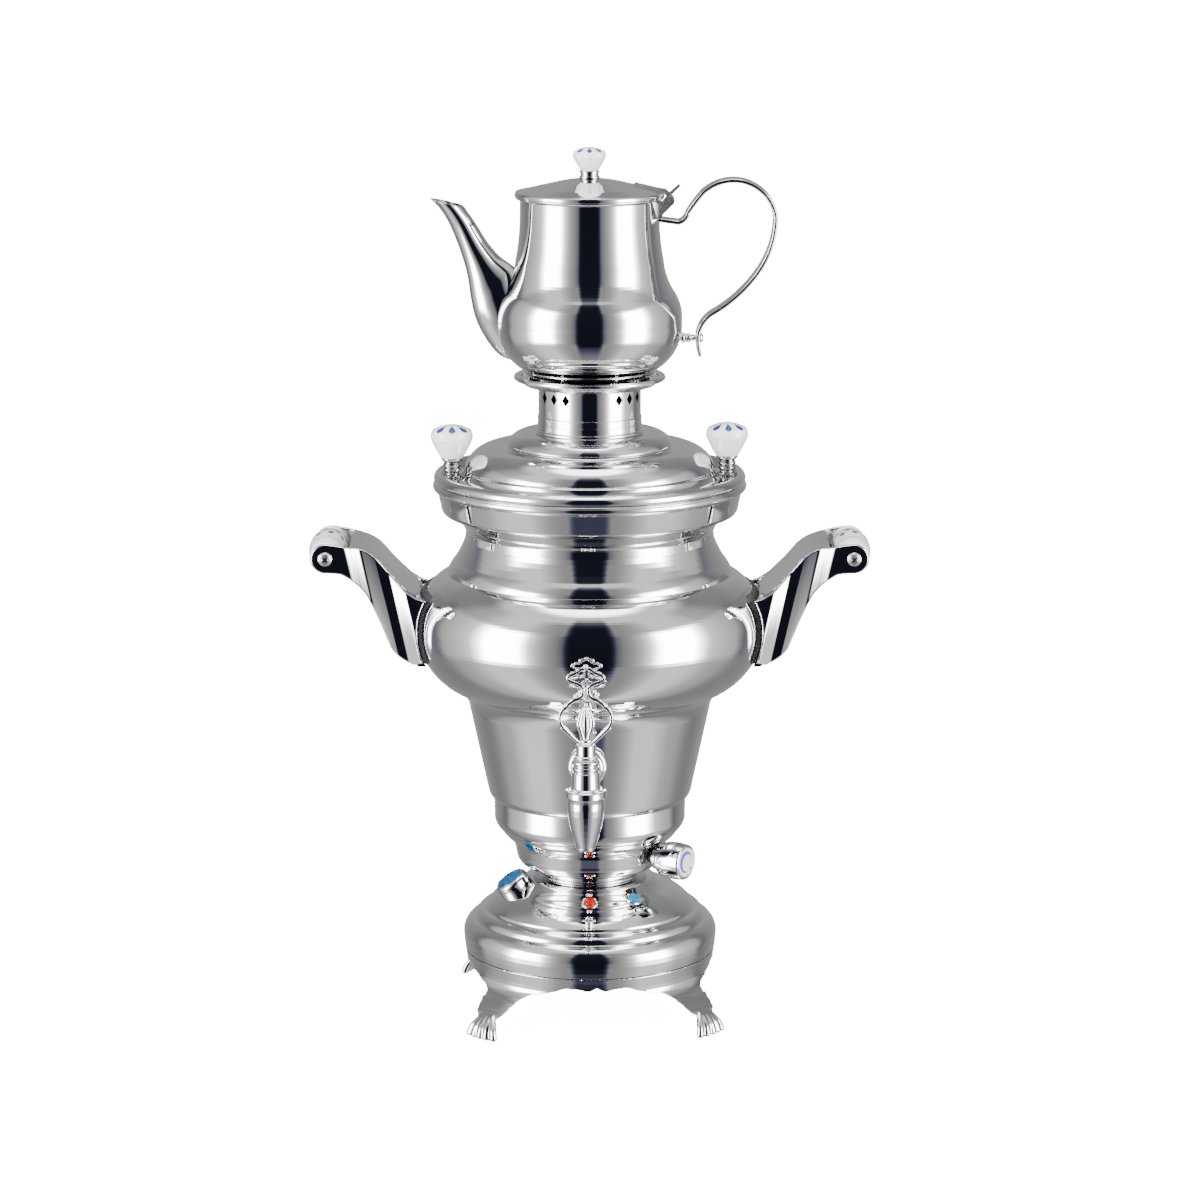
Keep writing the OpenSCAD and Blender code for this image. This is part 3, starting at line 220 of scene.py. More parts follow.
def lathe_data(pts, closed=False, seg=192, wobble=None):
    """A profile of (radius, height) turned round the Z axis."""
    verts, faces, rings = [], [], []
    for r, z in pts:
        if r < 1e-4:
            rings.append([len(verts)])
            verts.append((0, 0, z))
        else:
            rings.append(list(range(len(verts), len(verts) + seg)))
            for k in range(seg):
                a = 2 * math.pi * k / seg
                rr = r * wobble(a, z) if wobble else r
                verts.append((rr * math.cos(a), rr * math.sin(a), z))
    pairs = list(zip(rings, rings[1:])) + ([(rings[-1], rings[0])] if closed else [])
    for a, b in pairs:
        if len(a) == 1 and len(b) == 1:
            continue
        for k in range(seg):
            m = (k + 1) % seg
            if len(a) == 1:
                faces.append((a[0], b[m], b[k]))
            elif len(b) == 1:
                faces.append((a[k], a[m], b[0]))
            else:
                faces.append((a[k], a[m], b[m], b[k]))
    return verts, faces

def lathe(name, pts, mat, body, closed=False, seg=192, wobble=None, **more):
    verts, faces = lathe_data(framed(pts, closed=closed), closed, seg, wobble)
    return build(name, verts, faces, mat, body, **more)

def shell(outer, inner, radius=0.35):
    """A closed wall section: outer keys walked up, inner keys walked up."""
    return eased(arcs(outer) + arcs(inner)[::-1], radius, closed=True)

def tube_data(path, half_w, half_t, n=20, square=2.6, taper=None, up=(0, 1, 0)):
    """A bar of rounded section along 3-D points: half_w lies along up, half_t in the path's plane."""
    path = [Vector(p) for p in path]
    up = Vector(up)
    verts, faces = [], []
    last = len(path) - 1
    for i, p in enumerate(path):
        d = (path[min(i + 1, last)] - path[max(i - 1, 0)]).normalized()
        side = up.cross(d).normalized()
        wide = d.cross(side).normalized()
        k = taper(i / last) if taper else (1, 1)
        for j in range(n):
            a = 2 * math.pi * j / n
            c, s = math.cos(a), math.sin(a)
            e = 2 / square
            cc, ss = math.copysign(abs(c) ** e, c), math.copysign(abs(s) ** e, s)
            verts.append(tuple(p + wide * half_w * k[0] * cc + side * half_t * k[1] * ss))
    for i in range(last):
        for j in range(n):
            m = (j + 1) % n
            faces.append((i * n + j, i * n + m, (i + 1) * n + m, (i + 1) * n + j))
    faces.append(tuple(range(n))[::-1])
    faces.append(tuple(last * n + j for j in range(n)))
    return verts, faces

def ball_data(centre, r, rz=None, n=24):
    rz = rz or r
    pts = [(r * math.sin(math.pi * i / 12), -rz * math.cos(math.pi * i / 12)) for i in range(13)]
    verts, faces = lathe_data(pts, seg=n)
    return [(v[0] + centre[0], v[1] + centre[1], v[2] + centre[2]) for v in verts], faces

def joined(*parts):
    verts, faces = [], []
    for v, f in parts:
        n = len(verts)
        verts += list(v)
        faces += [tuple(i + n for i in face) for face in f]
    return verts, faces

def turned_data(data, matrix):
    return [tuple(matrix @ Vector(v)) for v in data[0]], data[1]

def plate_data(pts, y0, y1, round_by=0.8, steps=3):
    """An outline in x and z as a plate from y0 to y1 with rounded edges."""
    n = len(pts)
    area = sum(pts[i][0] * pts[(i + 1) % n][1] - pts[(i + 1) % n][0] * pts[i][1] for i in range(n))
    if area < 0:
        pts = pts[::-1]
    norm = []
    for i in range(n):
        a, b = pts[i - 1], pts[(i + 1) % n]
        dx, dz = b[0] - a[0], b[1] - a[1]
        d = math.hypot(dx, dz) or 1
        norm.append((-dz / d, dx / d))
    bends = [math.pi / 2 * j / steps for j in range(steps + 1)]
    rows = [(y0 + round_by * (1 - math.cos(t)), round_by * (1 - math.sin(t))) for t in bends]
    rows += [(y1 - (y - y0), inset) for y, inset in rows[::-1]]
    verts, faces = [], []
    for y, inset in rows:
        verts += [(p[0] + m[0] * inset, y, p[1] + m[1] * inset) for p, m in zip(pts, norm)]
    for k in range(len(rows) - 1):
        for i in range(n):
            m = (i + 1) % n
            faces.append((k * n + i, k * n + m, (k + 1) * n + m, (k + 1) * n + i))
    faces.append(tuple(range(n))[::-1])
    faces.append(tuple((len(rows) - 1) * n + i for i in range(n)))
    return verts, faces

def give_uv(obj, matrix=None, tall=100.0):
    """UV from a turned piece's own axis: u round it, v along it in units of tall mm."""
    back = matrix.inverted() if matrix is not None else Matrix()
    mesh = obj.data
    uv = mesh.uv_layers.new(name="UVMap")
    for poly in mesh.polygons:
        us, vs = [], []
        for i in poly.vertices:
            p = back @ mesh.vertices[i].co
            r = math.hypot(p.x, p.y)
            us.append(math.atan2(p.y, p.x) / (2 * math.pi) % 1 if r > 1e-6 else None)
            vs.append(p.z / MM / tall)
        known = [u for u in us if u is not None]
        wrap = known and max(known) - min(known) > 0.5
        known = [u + 1 if wrap and u < 0.5 else u for u in known] or [0]
        for loop, u, v in zip(poly.loop_indices, us, vs):
            u = sum(known) / len(known) if u is None else (u + 1 if wrap and u < 0.5 else u)
            uv.data[loop].uv = (u, v)

# ---------------------------------------------------------------- materials
class Look:
    def __init__(self, name):
        self.mat = bpy.data.materials.new(name)
        self.mat.use_nodes = True
        self.nt = self.mat.node_tree
        self.out = self.nt.nodes["Material Output"]
        self.bsdf = self.nt.nodes["Principled BSDF"]

    def set(self, **values):
        for k, v in values.items():
            self.bsdf.inputs[k.replace("_", " ")].default_value = v
        return self

    def node(self, kind, **props):
        n = self.nt.nodes.new(kind)
        for k, v in props.items():
            setattr(n, k, v)
        return n

    def link(self, a, b):
        if isinstance(b, str):
            b = self.bsdf.inputs[b]
        self.nt.links.new(a, b)

    def math(self, op, a, b=0.5, c=0.5, clamp=False):
        n = self.node("ShaderNodeMath", operation=op, use_clamp=clamp)
        for i, v in enumerate((a, b, c)):
            if hasattr(v, "is_output"):
                self.nt.links.new(v, n.inputs[i])
            else:
                n.inputs[i].default_value = v
        return n.outputs[0]

    def add(self, a, b):
        return self.math("ADD", a, b)

    def sub(self, a, b):
        return self.math("SUBTRACT", a, b)

    def mul(self, a, b):
        return self.math("MULTIPLY", a, b)

    def div(self, a, b):
        return self.math("DIVIDE", a, b)

    def length(self, x, y):
        return self.math("SQRT", self.add(self.mul(x, x), self.mul(y, y)))

    def step(self, x, lo, hi, out_lo=0.0, out_hi=1.0):
        n = self.node("ShaderNodeMapRange", interpolation_type="SMOOTHSTEP")
        self.nt.links.new(x, n.inputs["Value"])
        for k, v in zip(("From Min", "From Max", "To Min", "To Max"), (lo, hi, out_lo, out_hi)):
            n.inputs[k].default_value = v
        return n.outputs["Result"]

    def coords(self, scale=(1, 1, 1)):
        c = self.node("ShaderNodeTexCoord")
        m = self.node("ShaderNodeMapping")
        m.inputs["Scale"].default_value = scale
        self.link(c.outputs["Object"], m.inputs["Vector"])
        return m.outputs["Vector"]

    def noise(self, scale, detail=3.0, stretch=(1, 1, 1), rough=0.5):
        n = self.node("ShaderNodeTexNoise")
        n.inputs["Scale"].default_value = scale
        n.inputs["Detail"].default_value = detail
        n.inputs["Roughness"].default_value = rough
        self.link(self.coords(stretch), n.inputs["Vector"])
        return n.outputs["Fac"]

    def mix(self, fac, a, b):
        n = self.node("ShaderNodeMix", data_type="RGBA", clamp_result=False)
        for i, v in ((0, fac), (6, a), (7, b)):
            if hasattr(v, "is_output"):
                self.nt.links.new(v, n.inputs[i])
            else:
                n.inputs[i].default_value = v if i == 0 else (*v, 1)
        return n.outputs[2]

    def bump(self, height, strength=0.1, depth=0.0002):
        n = self.node("ShaderNodeBump")
        n.inputs["Strength"].default_value = strength
        n.inputs["Distance"].default_value = depth
        self.link(height, n.inputs["Height"])
        self.link(n.outputs["Normal"], "Normal")

    def uv(self):
        c = self.node("ShaderNodeTexCoord")
        s = self.node("ShaderNodeSeparateXYZ")
        self.link(c.outputs["UV"], s.inputs[0])
        return s.outputs[0], s.outputs[1]

def metal(name, light, dark, rough, spread, spun=0.0, cast=0.0):
    k = Look(name).set(Metallic=1.0)
    film = k.noise(18, 4, rough=0.6)
    k.link(k.mix(k.step(film, 0.3, 0.7), light, dark), "Base Color")
    rings = k.noise(900, 2, (0.02, 0.02, 1)) if spun else k.noise(700, 3)
    worn = k.add(k.mul(k.step(film, 0.35, 0.75), spread), k.mul(rings, spread * 0.6))
    k.link(k.add(worn, rough), "Roughness")
    if spun:
        k.bump(rings, spun, 0.00002)
    if cast:
        k.bump(k.noise(420, 2), cast, 0.00008)
    return k.mat

steel = metal("polished_steel", (0.80, 0.80, 0.805), (0.73, 0.73, 0.74), 0.015, 0.022, spun=0.03)
chrome = metal("cast_chrome", (0.78, 0.785, 0.80), (0.70, 0.705, 0.72), 0.025, 0.025, cast=0.02)
satin = metal("satin_steel", (0.66, 0.66, 0.67), (0.56, 0.56, 0.57), 0.26, 0.1, cast=0.1)
nickel = metal("dark_nickel", (0.50, 0.49, 0.49), (0.40, 0.39, 0.39), 0.05, 0.05, cast=0.05)
# Near-black steel that paints shade: the dark inside of the crown and its vent edges, and the dark screw
# slots.
painted_shade = metal("painted_shade_steel", (0.012, 0.012, 0.013), (0.02, 0.02, 0.02), 0.7, 0.1)
raw = metal("plain_steel", (0.55, 0.55, 0.55), (0.42, 0.42, 0.43), 0.28, 0.12, cast=0.2)
brass = metal("brass", (0.80, 0.62, 0.30), (0.68, 0.5, 0.22), 0.12, 0.08, cast=0.05)

def moulded(name, tone, shade, rough, grain, depth=0.12):
    k = Look(name)
    n = k.noise(grain, 4)
    k.link(k.mix(n, tone, shade), "Base Color")
    k.link(k.step(k.noise(40, 3), 0.3, 0.7, rough - 0.06, rough + 0.08), "Roughness")
    k.bump(n, depth, 0.0001)
    return k.mat

rubber = moulded("dark_rubber", (0.022, 0.022, 0.024), (0.04, 0.04, 0.042), 0.55, 900, 0.3)
black = moulded("black_plastic", (0.02, 0.02, 0.021), (0.034, 0.034, 0.036), 0.36, 1400, 0.2)

GLAZE = (0.86, 0.855, 0.84)
COBALT, SKY = (0.006, 0.012, 0.11), (0.02, 0.05, 0.3)

def glazed(name, petals=None):
    k = Look(name).set(Coat_Weight=0.6, Coat_Roughness=0.03, Subsurface_Weight=0.08,
                       Subsurface_Scale=0.002)
    body = k.mix(k.step(k.noise(60, 3), 0.35, 0.7), GLAZE, (0.80, 0.80, 0.79))
    k.link(k.step(k.noise(90, 3), 0.3, 0.7, 0.07, 0.14), "Roughness")
    k.bump(k.noise(300, 2), 0.04, 0.00005)
    if petals:
        body = petals(k, body)
    k.link(body, "Base Color")
    return k.mat

def petal_ring(k, body, count, v0, v1, fat, offset=0.0):
    """Brushed petals side by side round a turned piece, between two heights of its UV."""
    u, v = k.uv()
    brush = k.noise(700, 2)
    a = k.math("ABSOLUTE", k.sub(k.math("FRACT", k.add(k.mul(u, float(count)), offset)), 0.5))
    t = k.div(k.sub(v, v0), v1 - v0)
    inside = k.mul(k.step(t, 0.0, 0.03), k.step(t, 0.97, 1.0, 1.0, 0.0))
    swell = k.math("SINE", k.mul(k.math("POWER", k.math("MAXIMUM", t, 0.0), 0.8), math.pi))
    edge = k.sub(k.mul(swell, fat), k.add(a, k.mul(k.sub(brush, 0.5), 0.06)))
    mask = k.mul(k.step(edge, 0.0, 0.03), inside)
    return k.mix(mask, body, k.mix(k.step(a, 0.02, 0.11), SKY, COBALT))

def knob_look(k, body):
    return petal_ring(k, body, 8, 0.160, 0.199, 0.27, offset=0.5)

def fine_rings(k, body, v0, v1, count):
    """Thin painted rings round both ends of a turned piece."""
    v = k.math("ABSOLUTE", k.uv()[1])
    t = k.div(k.sub(v, v0), v1 - v0)
    inside = k.mul(k.step(t, 0.0, 0.01), k.step(t, 0.99, 1.0, 1.0, 0.0))
    wave = k.math("ABSOLUTE", k.sub(k.math("FRACT", k.mul(t, float(count))), 0.5))
    return k.mix(k.mul(k.step(wave, 0.14, 0.24, 0.75, 0.0), inside), body, (0.10, 0.12, 0.24))

def lid_look(k, body):
    return petal_ring(k, body, 8, 0.108, 0.135, 0.25, offset=0.5)

def grip_look(k, body):
    body = petal_ring(k, body, 9, -0.075, -0.005, 0.24)
    body = petal_ring(k, body, 9, 0.005, 0.075, 0.24, offset=0.5)
    return fine_rings(k, body, 0.11, 0.165, 4)

porcelain = glazed("porcelain")
knob_glaze = glazed("porcelain_petals", knob_look)
lid_glaze = glazed("porcelain_lid", lid_look)
grip_glaze = glazed("porcelain_grip", grip_look)

def face_look():
    """The dial's cream face, with a blue ring that swells on one side and a red dot."""
    k = Look("dial_face").set(Coat_Weight=0.4, Coat_Roughness=0.05)
    u, v = k.uv()
    x, y = k.sub(u, 0.5), k.sub(v, 0.5)
    base = k.mix(k.noise(200, 3), (0.80, 0.79, 0.74), (0.74, 0.73, 0.69))
    wide = k.mul(k.add(k.math("COSINE", k.sub(k.math("ARCTAN2", y, x), 2.6)), 1.0), 0.045)
    ring = k.step(k.sub(wide, k.math("ABSOLUTE", k.sub(k.length(x, y), 0.33))), 0.0, 0.01)
    base = k.mix(ring, base, (0.04, 0.10, 0.5))
    dot = k.step(k.length(k.sub(x, 0.26), k.add(y, 0.26)), 0.05, 0.065, 1.0, 0.0)
    k.link(k.mix(dot, base, (0.6, 0.02, 0.02)), "Base Color")
    k.link(k.step(k.noise(300, 3), 0.3, 0.7, 0.2, 0.3), "Roughness")
    return k.mat

def lens(name, tone, deep, glow, power):
    k = Look(name).set(Coat_Weight=0.03, Coat_Roughness=0.05, Emission_Strength=power,
                       Specular_IOR_Level=0.1, IOR=1.49)
    n = k.noise(500, 3)
    k.link(k.mix(k.step(n, 0.3, 0.7), tone, deep), "Base Color")
    k.link(k.mix(k.step(n, 0.3, 0.7), glow, tuple(c * 0.6 for c in glow)), "Emission Color")
    k.link(k.step(k.noise(200, 2), 0.3, 0.7, 0.08, 0.16), "Roughness")
    return k.mat

cream = face_look()
red = lens("red_lens", (0.3, 0.004, 0.002), (0.18, 0.002, 0.001), (1.0, 0.02, 0.004), 0.2)
blue_lens = lens("blue_lens", (0.001, 0.12, 0.26), (0.001, 0.07, 0.18), (0.0, 0.5, 0.9), 0.3)
# The rocker is no lamp: its emission is a painted glow, for the bright cyan of light through the blue
# plastic.
blue = lens("blue_plastic", (0.001, 0.05, 0.16), (0.001, 0.02, 0.1), (0.0, 0.35, 0.8), 0.22)

by_slot = {
    "polished_steel": steel, "cast_chrome": chrome, "plain_steel": raw, "dark_rubber": rubber,
    "black_plastic": black, "porcelain": porcelain, "brass": brass, "cream_plastic": cream,
    "blue_plastic": blue, "red_lens": red, "blue_lens": blue_lens}
slot_of = {mat.name: slot for slot, mat in by_slot.items()}
slot_of |= {nickel.name: "cast_chrome", satin.name: "plain_steel", painted_shade.name: "plain_steel"}
slot_of |= {mat.name: "porcelain" for mat in (knob_glaze, lid_glaze, grip_glaze)}
for part in frame["record"]["subparts"]:
    o = NODE[part["node"]]
    o.data.materials.clear()
    o.data.materials.append(by_slot[part["material_slot"]])

for name in ("hinge_bracket", "lid_leaf", "hinge_pin"):
    NODE[name].data.materials[0] = satin

# ---------------------------------------------------------------- vessel and base
body_keys = [
    (4.3, bowl_z), (cup_r, bowl_z, 0.32), (cup_r + 6.3, bowl_z + 8), (cup_r + 7.5, bowl_z + 13.5),
    (cup_r + 8.8, bowl_z + 16, 0.1), (bowl_r - 3.4, bowl_z + 23.5, 0.25), (bowl_r, bowl_z + 32),
    (bowl_r + 0.2, waist_z - 4.2, 0.2), (waist_r, waist_z), (cone_r, belly_z - 11.5, -0.2),
    (cone_r + 6.2, belly_z, 0.314), (belly_r, belly_z + belly_h * 0.556, 0.298),
    (throat_r + 11.2, throat_z, 0.12), (throat_r + 6.6, throat_z + 8.2),
    (throat_r + 6, throat_z + 9.2, -0.05), (throat_r + 0.3, throat_z + 21), (throat_r, throat_z + 25.5),
    (throat_r + 0.4, throat_z + 26.2, -0.25), (rim_r - 8.4, band_z), (rim_r - 5.9, band_z + 0.5, 0.2),
    (rim_r - 4.4, band_z + 3), (rim_r - 2.2, rim_z - 5.8), (rim_r - 0.9, rim_z - 5.3, 0.5),
    (rim_r, rim_z - 1.3, 0.3), (rim_r - 1.4, rim_z)]
body_lining = [
    (4.3, bowl_z), (cup_r, bowl_z, 0.32), (cup_r + 6.3, bowl_z + 8), (cup_r + 8.2, bowl_z + 16, 0.1),
    (bowl_r - 3.4, bowl_z + 23.5, 0.25), (bowl_r, bowl_z + 32), (bowl_r + 0.2, waist_z - 4.2),
    (waist_r, waist_z), (cone_r, belly_z - 11.5, -0.2), (cone_r + 6.2, belly_z, 0.314),
    (belly_r, belly_z + belly_h * 0.556, 0.298), (throat_r + 11, throat_z),
    (throat_r + 6, throat_z + 9), (throat_r, throat_z + 21), (throat_r, throat_z + 26),
    (rim_r - 8.2, band_z + 0.4), (rim_r - 4.6, band_z + 3), (rim_r - 2.2, rim_z - 5),
    (rim_r - 2.2, rim_z)]
lathe("vessel", shell(body_keys, moved(body_lining, sheet), 0.3), steel, "samovar", closed=True, seg=256,
      node="body_shell")

def dome_key(s, t, b=0):
    return (neck_r + 2 + s * (base_r - neck_r - 2), seam_z + t * dome_h, b)

dome_keys = [
    dome_key(1, 0, 0.03), dome_key(1.02, 0.21, 0.27), dome_key(0.885, 0.405),
    dome_key(0.862, 0.405, -0.3), dome_key(0.852, 0.428, 0.26), dome_key(0.755, 0.527),
    dome_key(0.73, 0.53, -0.25), dome_key(0.70, 0.576, 0.13), dome_key(0.392, 0.80),
    dome_key(0.363, 0.811, -0.12), dome_key(0.19, 0.919, 0.2), dome_key(0, 1),
    (neck_r - 3, neck_z)]
dome_lining = [
    dome_key(1, 0, 0.03), dome_key(1.02, 0.21, 0.25), dome_key(0.86, 0.425), dome_key(0.74, 0.53),
    dome_key(0.70, 0.576, 0.13), dome_key(0.38, 0.80, -0.1), dome_key(0.19, 0.919, 0.2), dome_key(0, 1),
    (neck_r - 3, neck_z)]
base = lathe("base_dome", framed(shell(dome_keys, moved(dome_lining, sheet), 0.3), 1.5, closed=True),
             steel, "samovar",
             closed=True, seg=256, node="base_shell")
inlet_z = seam_z + 16
bm = bmesh.new()
bm.from_mesh(base.data)
hole = [f for f in bm.faces if abs(f.calc_center_median().x) < 0.0134 and f.calc_center_median().y > 0.05
        and abs(f.calc_center_median().z - inlet_z * MM) < 0.0098]
bmesh.ops.delete(bm, geom=hole, context="FACES")
bm.to_mesh(base.data)
bm.free()
lathe("neck_ring",
      eased(arcs([(neck_r + 0.5, neck_z, 0.2), (neck_r, bowl_z)]) + [(neck_r - 2.5, bowl_z),
          (neck_r - 2.5, neck_z)], 0.2, closed=True),
      steel, "samovar", closed=True, node="neck_collar")

# ---------------------------------------------------------------- foot ring
skirt_keys = [
    (toe_reach - 5, 3), (toe_reach - 5.5, 9, 0.2), (toe_reach - 9.5, 14.8, 0.04),
    (base_r + 6.4, 19.8, -0.24), (base_r - 1.2, seam_z - 10, -0.03), (base_r, seam_z)]
gap_edge = [
    (0, seam_z - 6, 0.16), (6, seam_z - 8.4, -0.1), (14.5, seam_z - 7, -0.15),
    (20.5, seam_z - 7.4, 0.08), (29, seam_z - 10.4, 0.05), (39, seam_z - 12.8, -0.04),
    (49.5, 18.6, 0.02), (57, 12.6, -0.1), (60.6, 9.6, -0.1), (62, 6), (62.4, 3), (62.4, -1)]

def baked(obj):
    """The object's mesh with its modifiers applied."""
    bpy.context.view_layer.update()
    deps = bpy.context.evaluated_depsgraph_get()
    mesh = bpy.data.meshes.new_from_object(obj.evaluated_get(deps), depsgraph=deps)
    obj.modifiers.clear()
    obj.data = mesh
    return obj

def cut_away(obj, tool):
    """Cuts the tool out of the object, and drops the tool."""
    mod = obj.modifiers.new("cut", "BOOLEAN")
    mod.operation, mod.solver, mod.object = "DIFFERENCE", "EXACT", tool
    baked(obj)
    bpy.data.objects.remove(tool)

def radius_at(line, z):
    """Radius of a profile at the height z, held beyond its ends."""
    for (r0, z0), (r1, z1) in zip(line, line[1:]):
        if z0 <= z <= z1 and z1 > z0:
            return r0 + (r1 - r0) * (z - z0) / (z1 - z0)
    return line[-1][0] if z > line[-1][1] else line[0][0]

rib_r = 2.35  # radius of one flute of a paw

def rib_data(t):
    """One flute of a paw, from the ankle to a round toe."""
    out = 0.35 * t * t
    path = blended([(t * 1.4, -87.5, 13.5), (t * 2.1, -90.8, 11.3), (t * 3.2, -94.2 + out, 8.6),
                    (t * 4.1, -96.4 + out, 5.2), (t * 4.7, -97.4 + out, 1.8)], 5)
    rib = tube_data(path, rib_r, rib_r, 18, 2.0, lambda u: (0.6 + 0.4 * u, 0.6 + 0.4 * u), up=(1, 0, 0))
    return joined(rib, ball_data(path[-1], rib_r, rib_r))

skirt = loose("skirt",
              lathe_data(framed(shell(skirt_keys, moved(skirt_keys, foot_wall), 0.8), 2.5, closed=True),
                         True, 288))
edge = arcs(gap_edge, 8)
edge = edge + [(-x, z) for x, z in edge[::-1][:-1]]
for k in (0, 90):
    cut_away(skirt, loose("gap", turned_data(plate_data(edge, -300, 300, 0.0, 1), spin(k))))
toes = [turned_data(rib_data(t), spin(90 * k + 45)) for k in range(4) for t in (-2, -1, 0, 1, 2)]
claws = loose("claws", joined(*toes))
bm = bmesh.new()
bm.from_mesh(skirt.data)
bm.from_mesh(claws.data)
bm.to_mesh(skirt.data)
bm.free()
bpy.data.objects.remove(claws)
mod = skirt.modifiers.new("fuse", "REMESH")
mod.mode, mod.voxel_size, mod.use_smooth_shade = "VOXEL", 0.00055, True
mod = skirt.modifiers.new("soften", "SMOOTH")
mod.factor, mod.iterations = 0.5, 9
baked(skirt)
skirt_line = [(r * MM, z * MM) for r, z in arcs(skirt_keys)]
seam_top, main_island, foot_band = (seam_z - 0.5) * MM, 20000, 0.006

def drop_islands(bm, least):
    """Deletes the separate pieces of a mesh that have fewer vertices than least."""
    seen = set()
    for start in list(bm.verts):
        if start in seen:
            continue
        island, stack = {start}, [start]
        while stack:
            for e in stack.pop().link_edges:
                for v in e.verts:
                    if v not in island:
                        island.add(v)
                        stack.append(v)
        seen |= island
        if len(island) < least:
            bmesh.ops.delete(bm, geom=list(island), context="VERTS")

def trued(co):
    """A point of the remeshed casting put back on the skirt's profile, the seam and the table."""
    r = math.hypot(co.x, co.y)
    want = radius_at(skirt_line, co.z)
    if co.z > foot_band and r > 0.02:
        pull = max(0.0, min(1.0, (0.0005 - abs(r - want)) / 0.0003))
        k = 1 + (want / r - 1) * pull
        co.x, co.y = co.x * k, co.y * k
    if co.z > seam_top:
        co.z = seam_top
        if r > (base_r - 0.7) * MM:
            k = (base_r - 0.25) * MM / math.hypot(co.x, co.y)
            co.x, co.y = co.x * k, co.y * k
    if co.z < foot_band:
        co.z -= 0.0007 * (1 - co.z / foot_band)

feet = skirt.data
turn = Matrix.Rotation(math.radians(base_turn), 3, "Z")
bm = bmesh.new()
bm.from_mesh(feet)
drop_islands(bm, main_island)
for v in bm.verts:
    trued(v.co)
    v.co = turn @ v.co
    v.co.z = max(v.co.z, 0.0)
bm.to_mesh(feet)
bm.free()
skirt.name = "foot_casting"
dress(skirt, chrome, "samovar", "foot_ring")

# ---------------------------------------------------------------- controls on the base
def on_dome(angle):
    return place(angle, (0, -control_r, seam_z + 0.825 * dome_h), 34)

m = on_dome(switch_turn)
bore = bezel_r - 1.4 - 0.6
bezel = lathe("switch_ring",
              eased(arcs([(bezel_r, -4), (bezel_r, 5.1, 0.3), (bezel_r - 2.2, 7.5)]) + [(bore, 7.5),
                  (bore, -13), (bore + 0.4, -13), (bore + 0.4, -4)], 0.5, closed=True),
              chrome, "samovar", closed=True, seg=96, node="switch_bezel", matrix=m)
cap_r, cap_seg, cap_foot = bore - 0.35, 72, -2.0

def cap_top(y, drop=0.0):
    """Height of the rocker's dished top, drop below its rim."""
    return 2.0 + 1.2 * (abs(y) / cap_r) ** 1.7 - drop

def cap_ring(r, height):
    ring = [2 * math.pi * k / cap_seg for k in range(cap_seg)]
    return [(r * math.cos(a), r * math.sin(a), height(r * math.sin(a))) for a in ring]

verts = []
for r, drop in [(cap_r * i / 14, 0.0) for i in range(14)] + [(cap_r, 0.35), (cap_r, 1.2)]:
    verts += cap_ring(r, lambda y: cap_top(y, drop))
verts += cap_ring(cap_r, lambda y: cap_foot)
faces = []
for i in range(16):
    for k in range(cap_seg):
        n = (k + 1) % cap_seg
        a, b = i * cap_seg, (i + 1) * cap_seg
        faces.append((a + k, b + k, b + n, a + n))
faces.append(tuple(16 * cap_seg + k for k in range(cap_seg)))
rocker_at = m @ Matrix.Translation((0, 0, 5 * MM)) @ spin(-7, "X")
# The rocker's blue material glows: painted light, not a lamp.
build("rocker_cap", verts, faces, blue, "rocker", node="switch_rocker", matrix=rocker_at)

def lamp(name, angle, mat, node):
    at = on_dome(angle)
    pts = arcs([(0, -9), (lens_r - 0.4, -9), (lens_r, -8.4), (lens_r, 1.6, 0.3),
                (lens_r * 0.6, 3.2, 0.15),
                (0, 3.8)])
    lathe(name, eased(pts, 0.2), mat, "samovar", seg=64, node=node, matrix=at)
    rim = [(lens_r + 0.05, 0.0), (lens_r + 1.5, 0.0), (lens_r + 1.3, 0.9), (lens_r + 0.4, 1.5),
           (lens_r + 0.05, 1.3)]
    lathe(name + "_rim", eased(rim, 0.3, closed=True), chrome, "samovar", closed=True, seg=64, matrix=at)

lamp("lamp_red", 0, red, "red_lamp")
lamp("lamp_blue", lamp_turn, blue_lens, "blue_lamp")

wall_at_dial = cup_r + 6.9
dial_root = wall_at_dial + 6.8
m = place(thermostat_turn, (0, 0, bowl_z + 10.2), 90)
pts = eased(arcs([(0, 0), (dial_r - 1.6, 0, 0.2), (dial_r - 1.2, 1.4), (dial_r - 0.4, 2, 0.1),
                  (dial_r, dial_h - 1.6, 0.35),
                  (dial_r - 1.2, dial_h), (dial_r - 1.8, dial_h), (dial_r - 1.8, dial_h - 1),
                  (0, dial_h - 1)]), 0.25)
dial_at = m @ Matrix.Translation((0, 0, dial_root * MM))
lathe("dial_body", pts, chrome, "thermostat_dial", seg=128, node="thermostat_knob", matrix=dial_at)
lathe("dial_shaft", [(0, -22), (3, -22), (3, 0.5), (0, 0.5)], raw, "thermostat_dial", seg=48,
      matrix=dial_at)
lathe("dial_collar", eased([(3.4, -1.3), (7.4, -1.3), (7.8, -0.9), (7.8, -0.35), (3.4, -0.35)], 0.2,
                           closed=True), black, "samovar", closed=True, seg=64, matrix=dial_at)
disc = lathe("dial_face",
             eased(arcs([(0, dial_h - 1), (dial_r - 1.9, dial_h - 1), (dial_r - 1.9, dial_h - 0.5, 0.3),
                         (dial_r - 2.5, dial_h - 0.1), (0, dial_h - 0.1)]), 0.15),
             cream, "thermostat_dial", seg=96, node="dial_insert", matrix=dial_at)
uv = disc.data.uv_layers.new(name="UVMap")
inv = dial_at.inverted()
for loop in disc.data.loops:
    p = inv @ disc.data.vertices[loop.vertex_index].co
    uv.data[loop.index].uv = (0.5 + p.x / MM / (2 * dial_r - 3.8), 0.5 + p.y / MM / (2 * dial_r - 3.8))

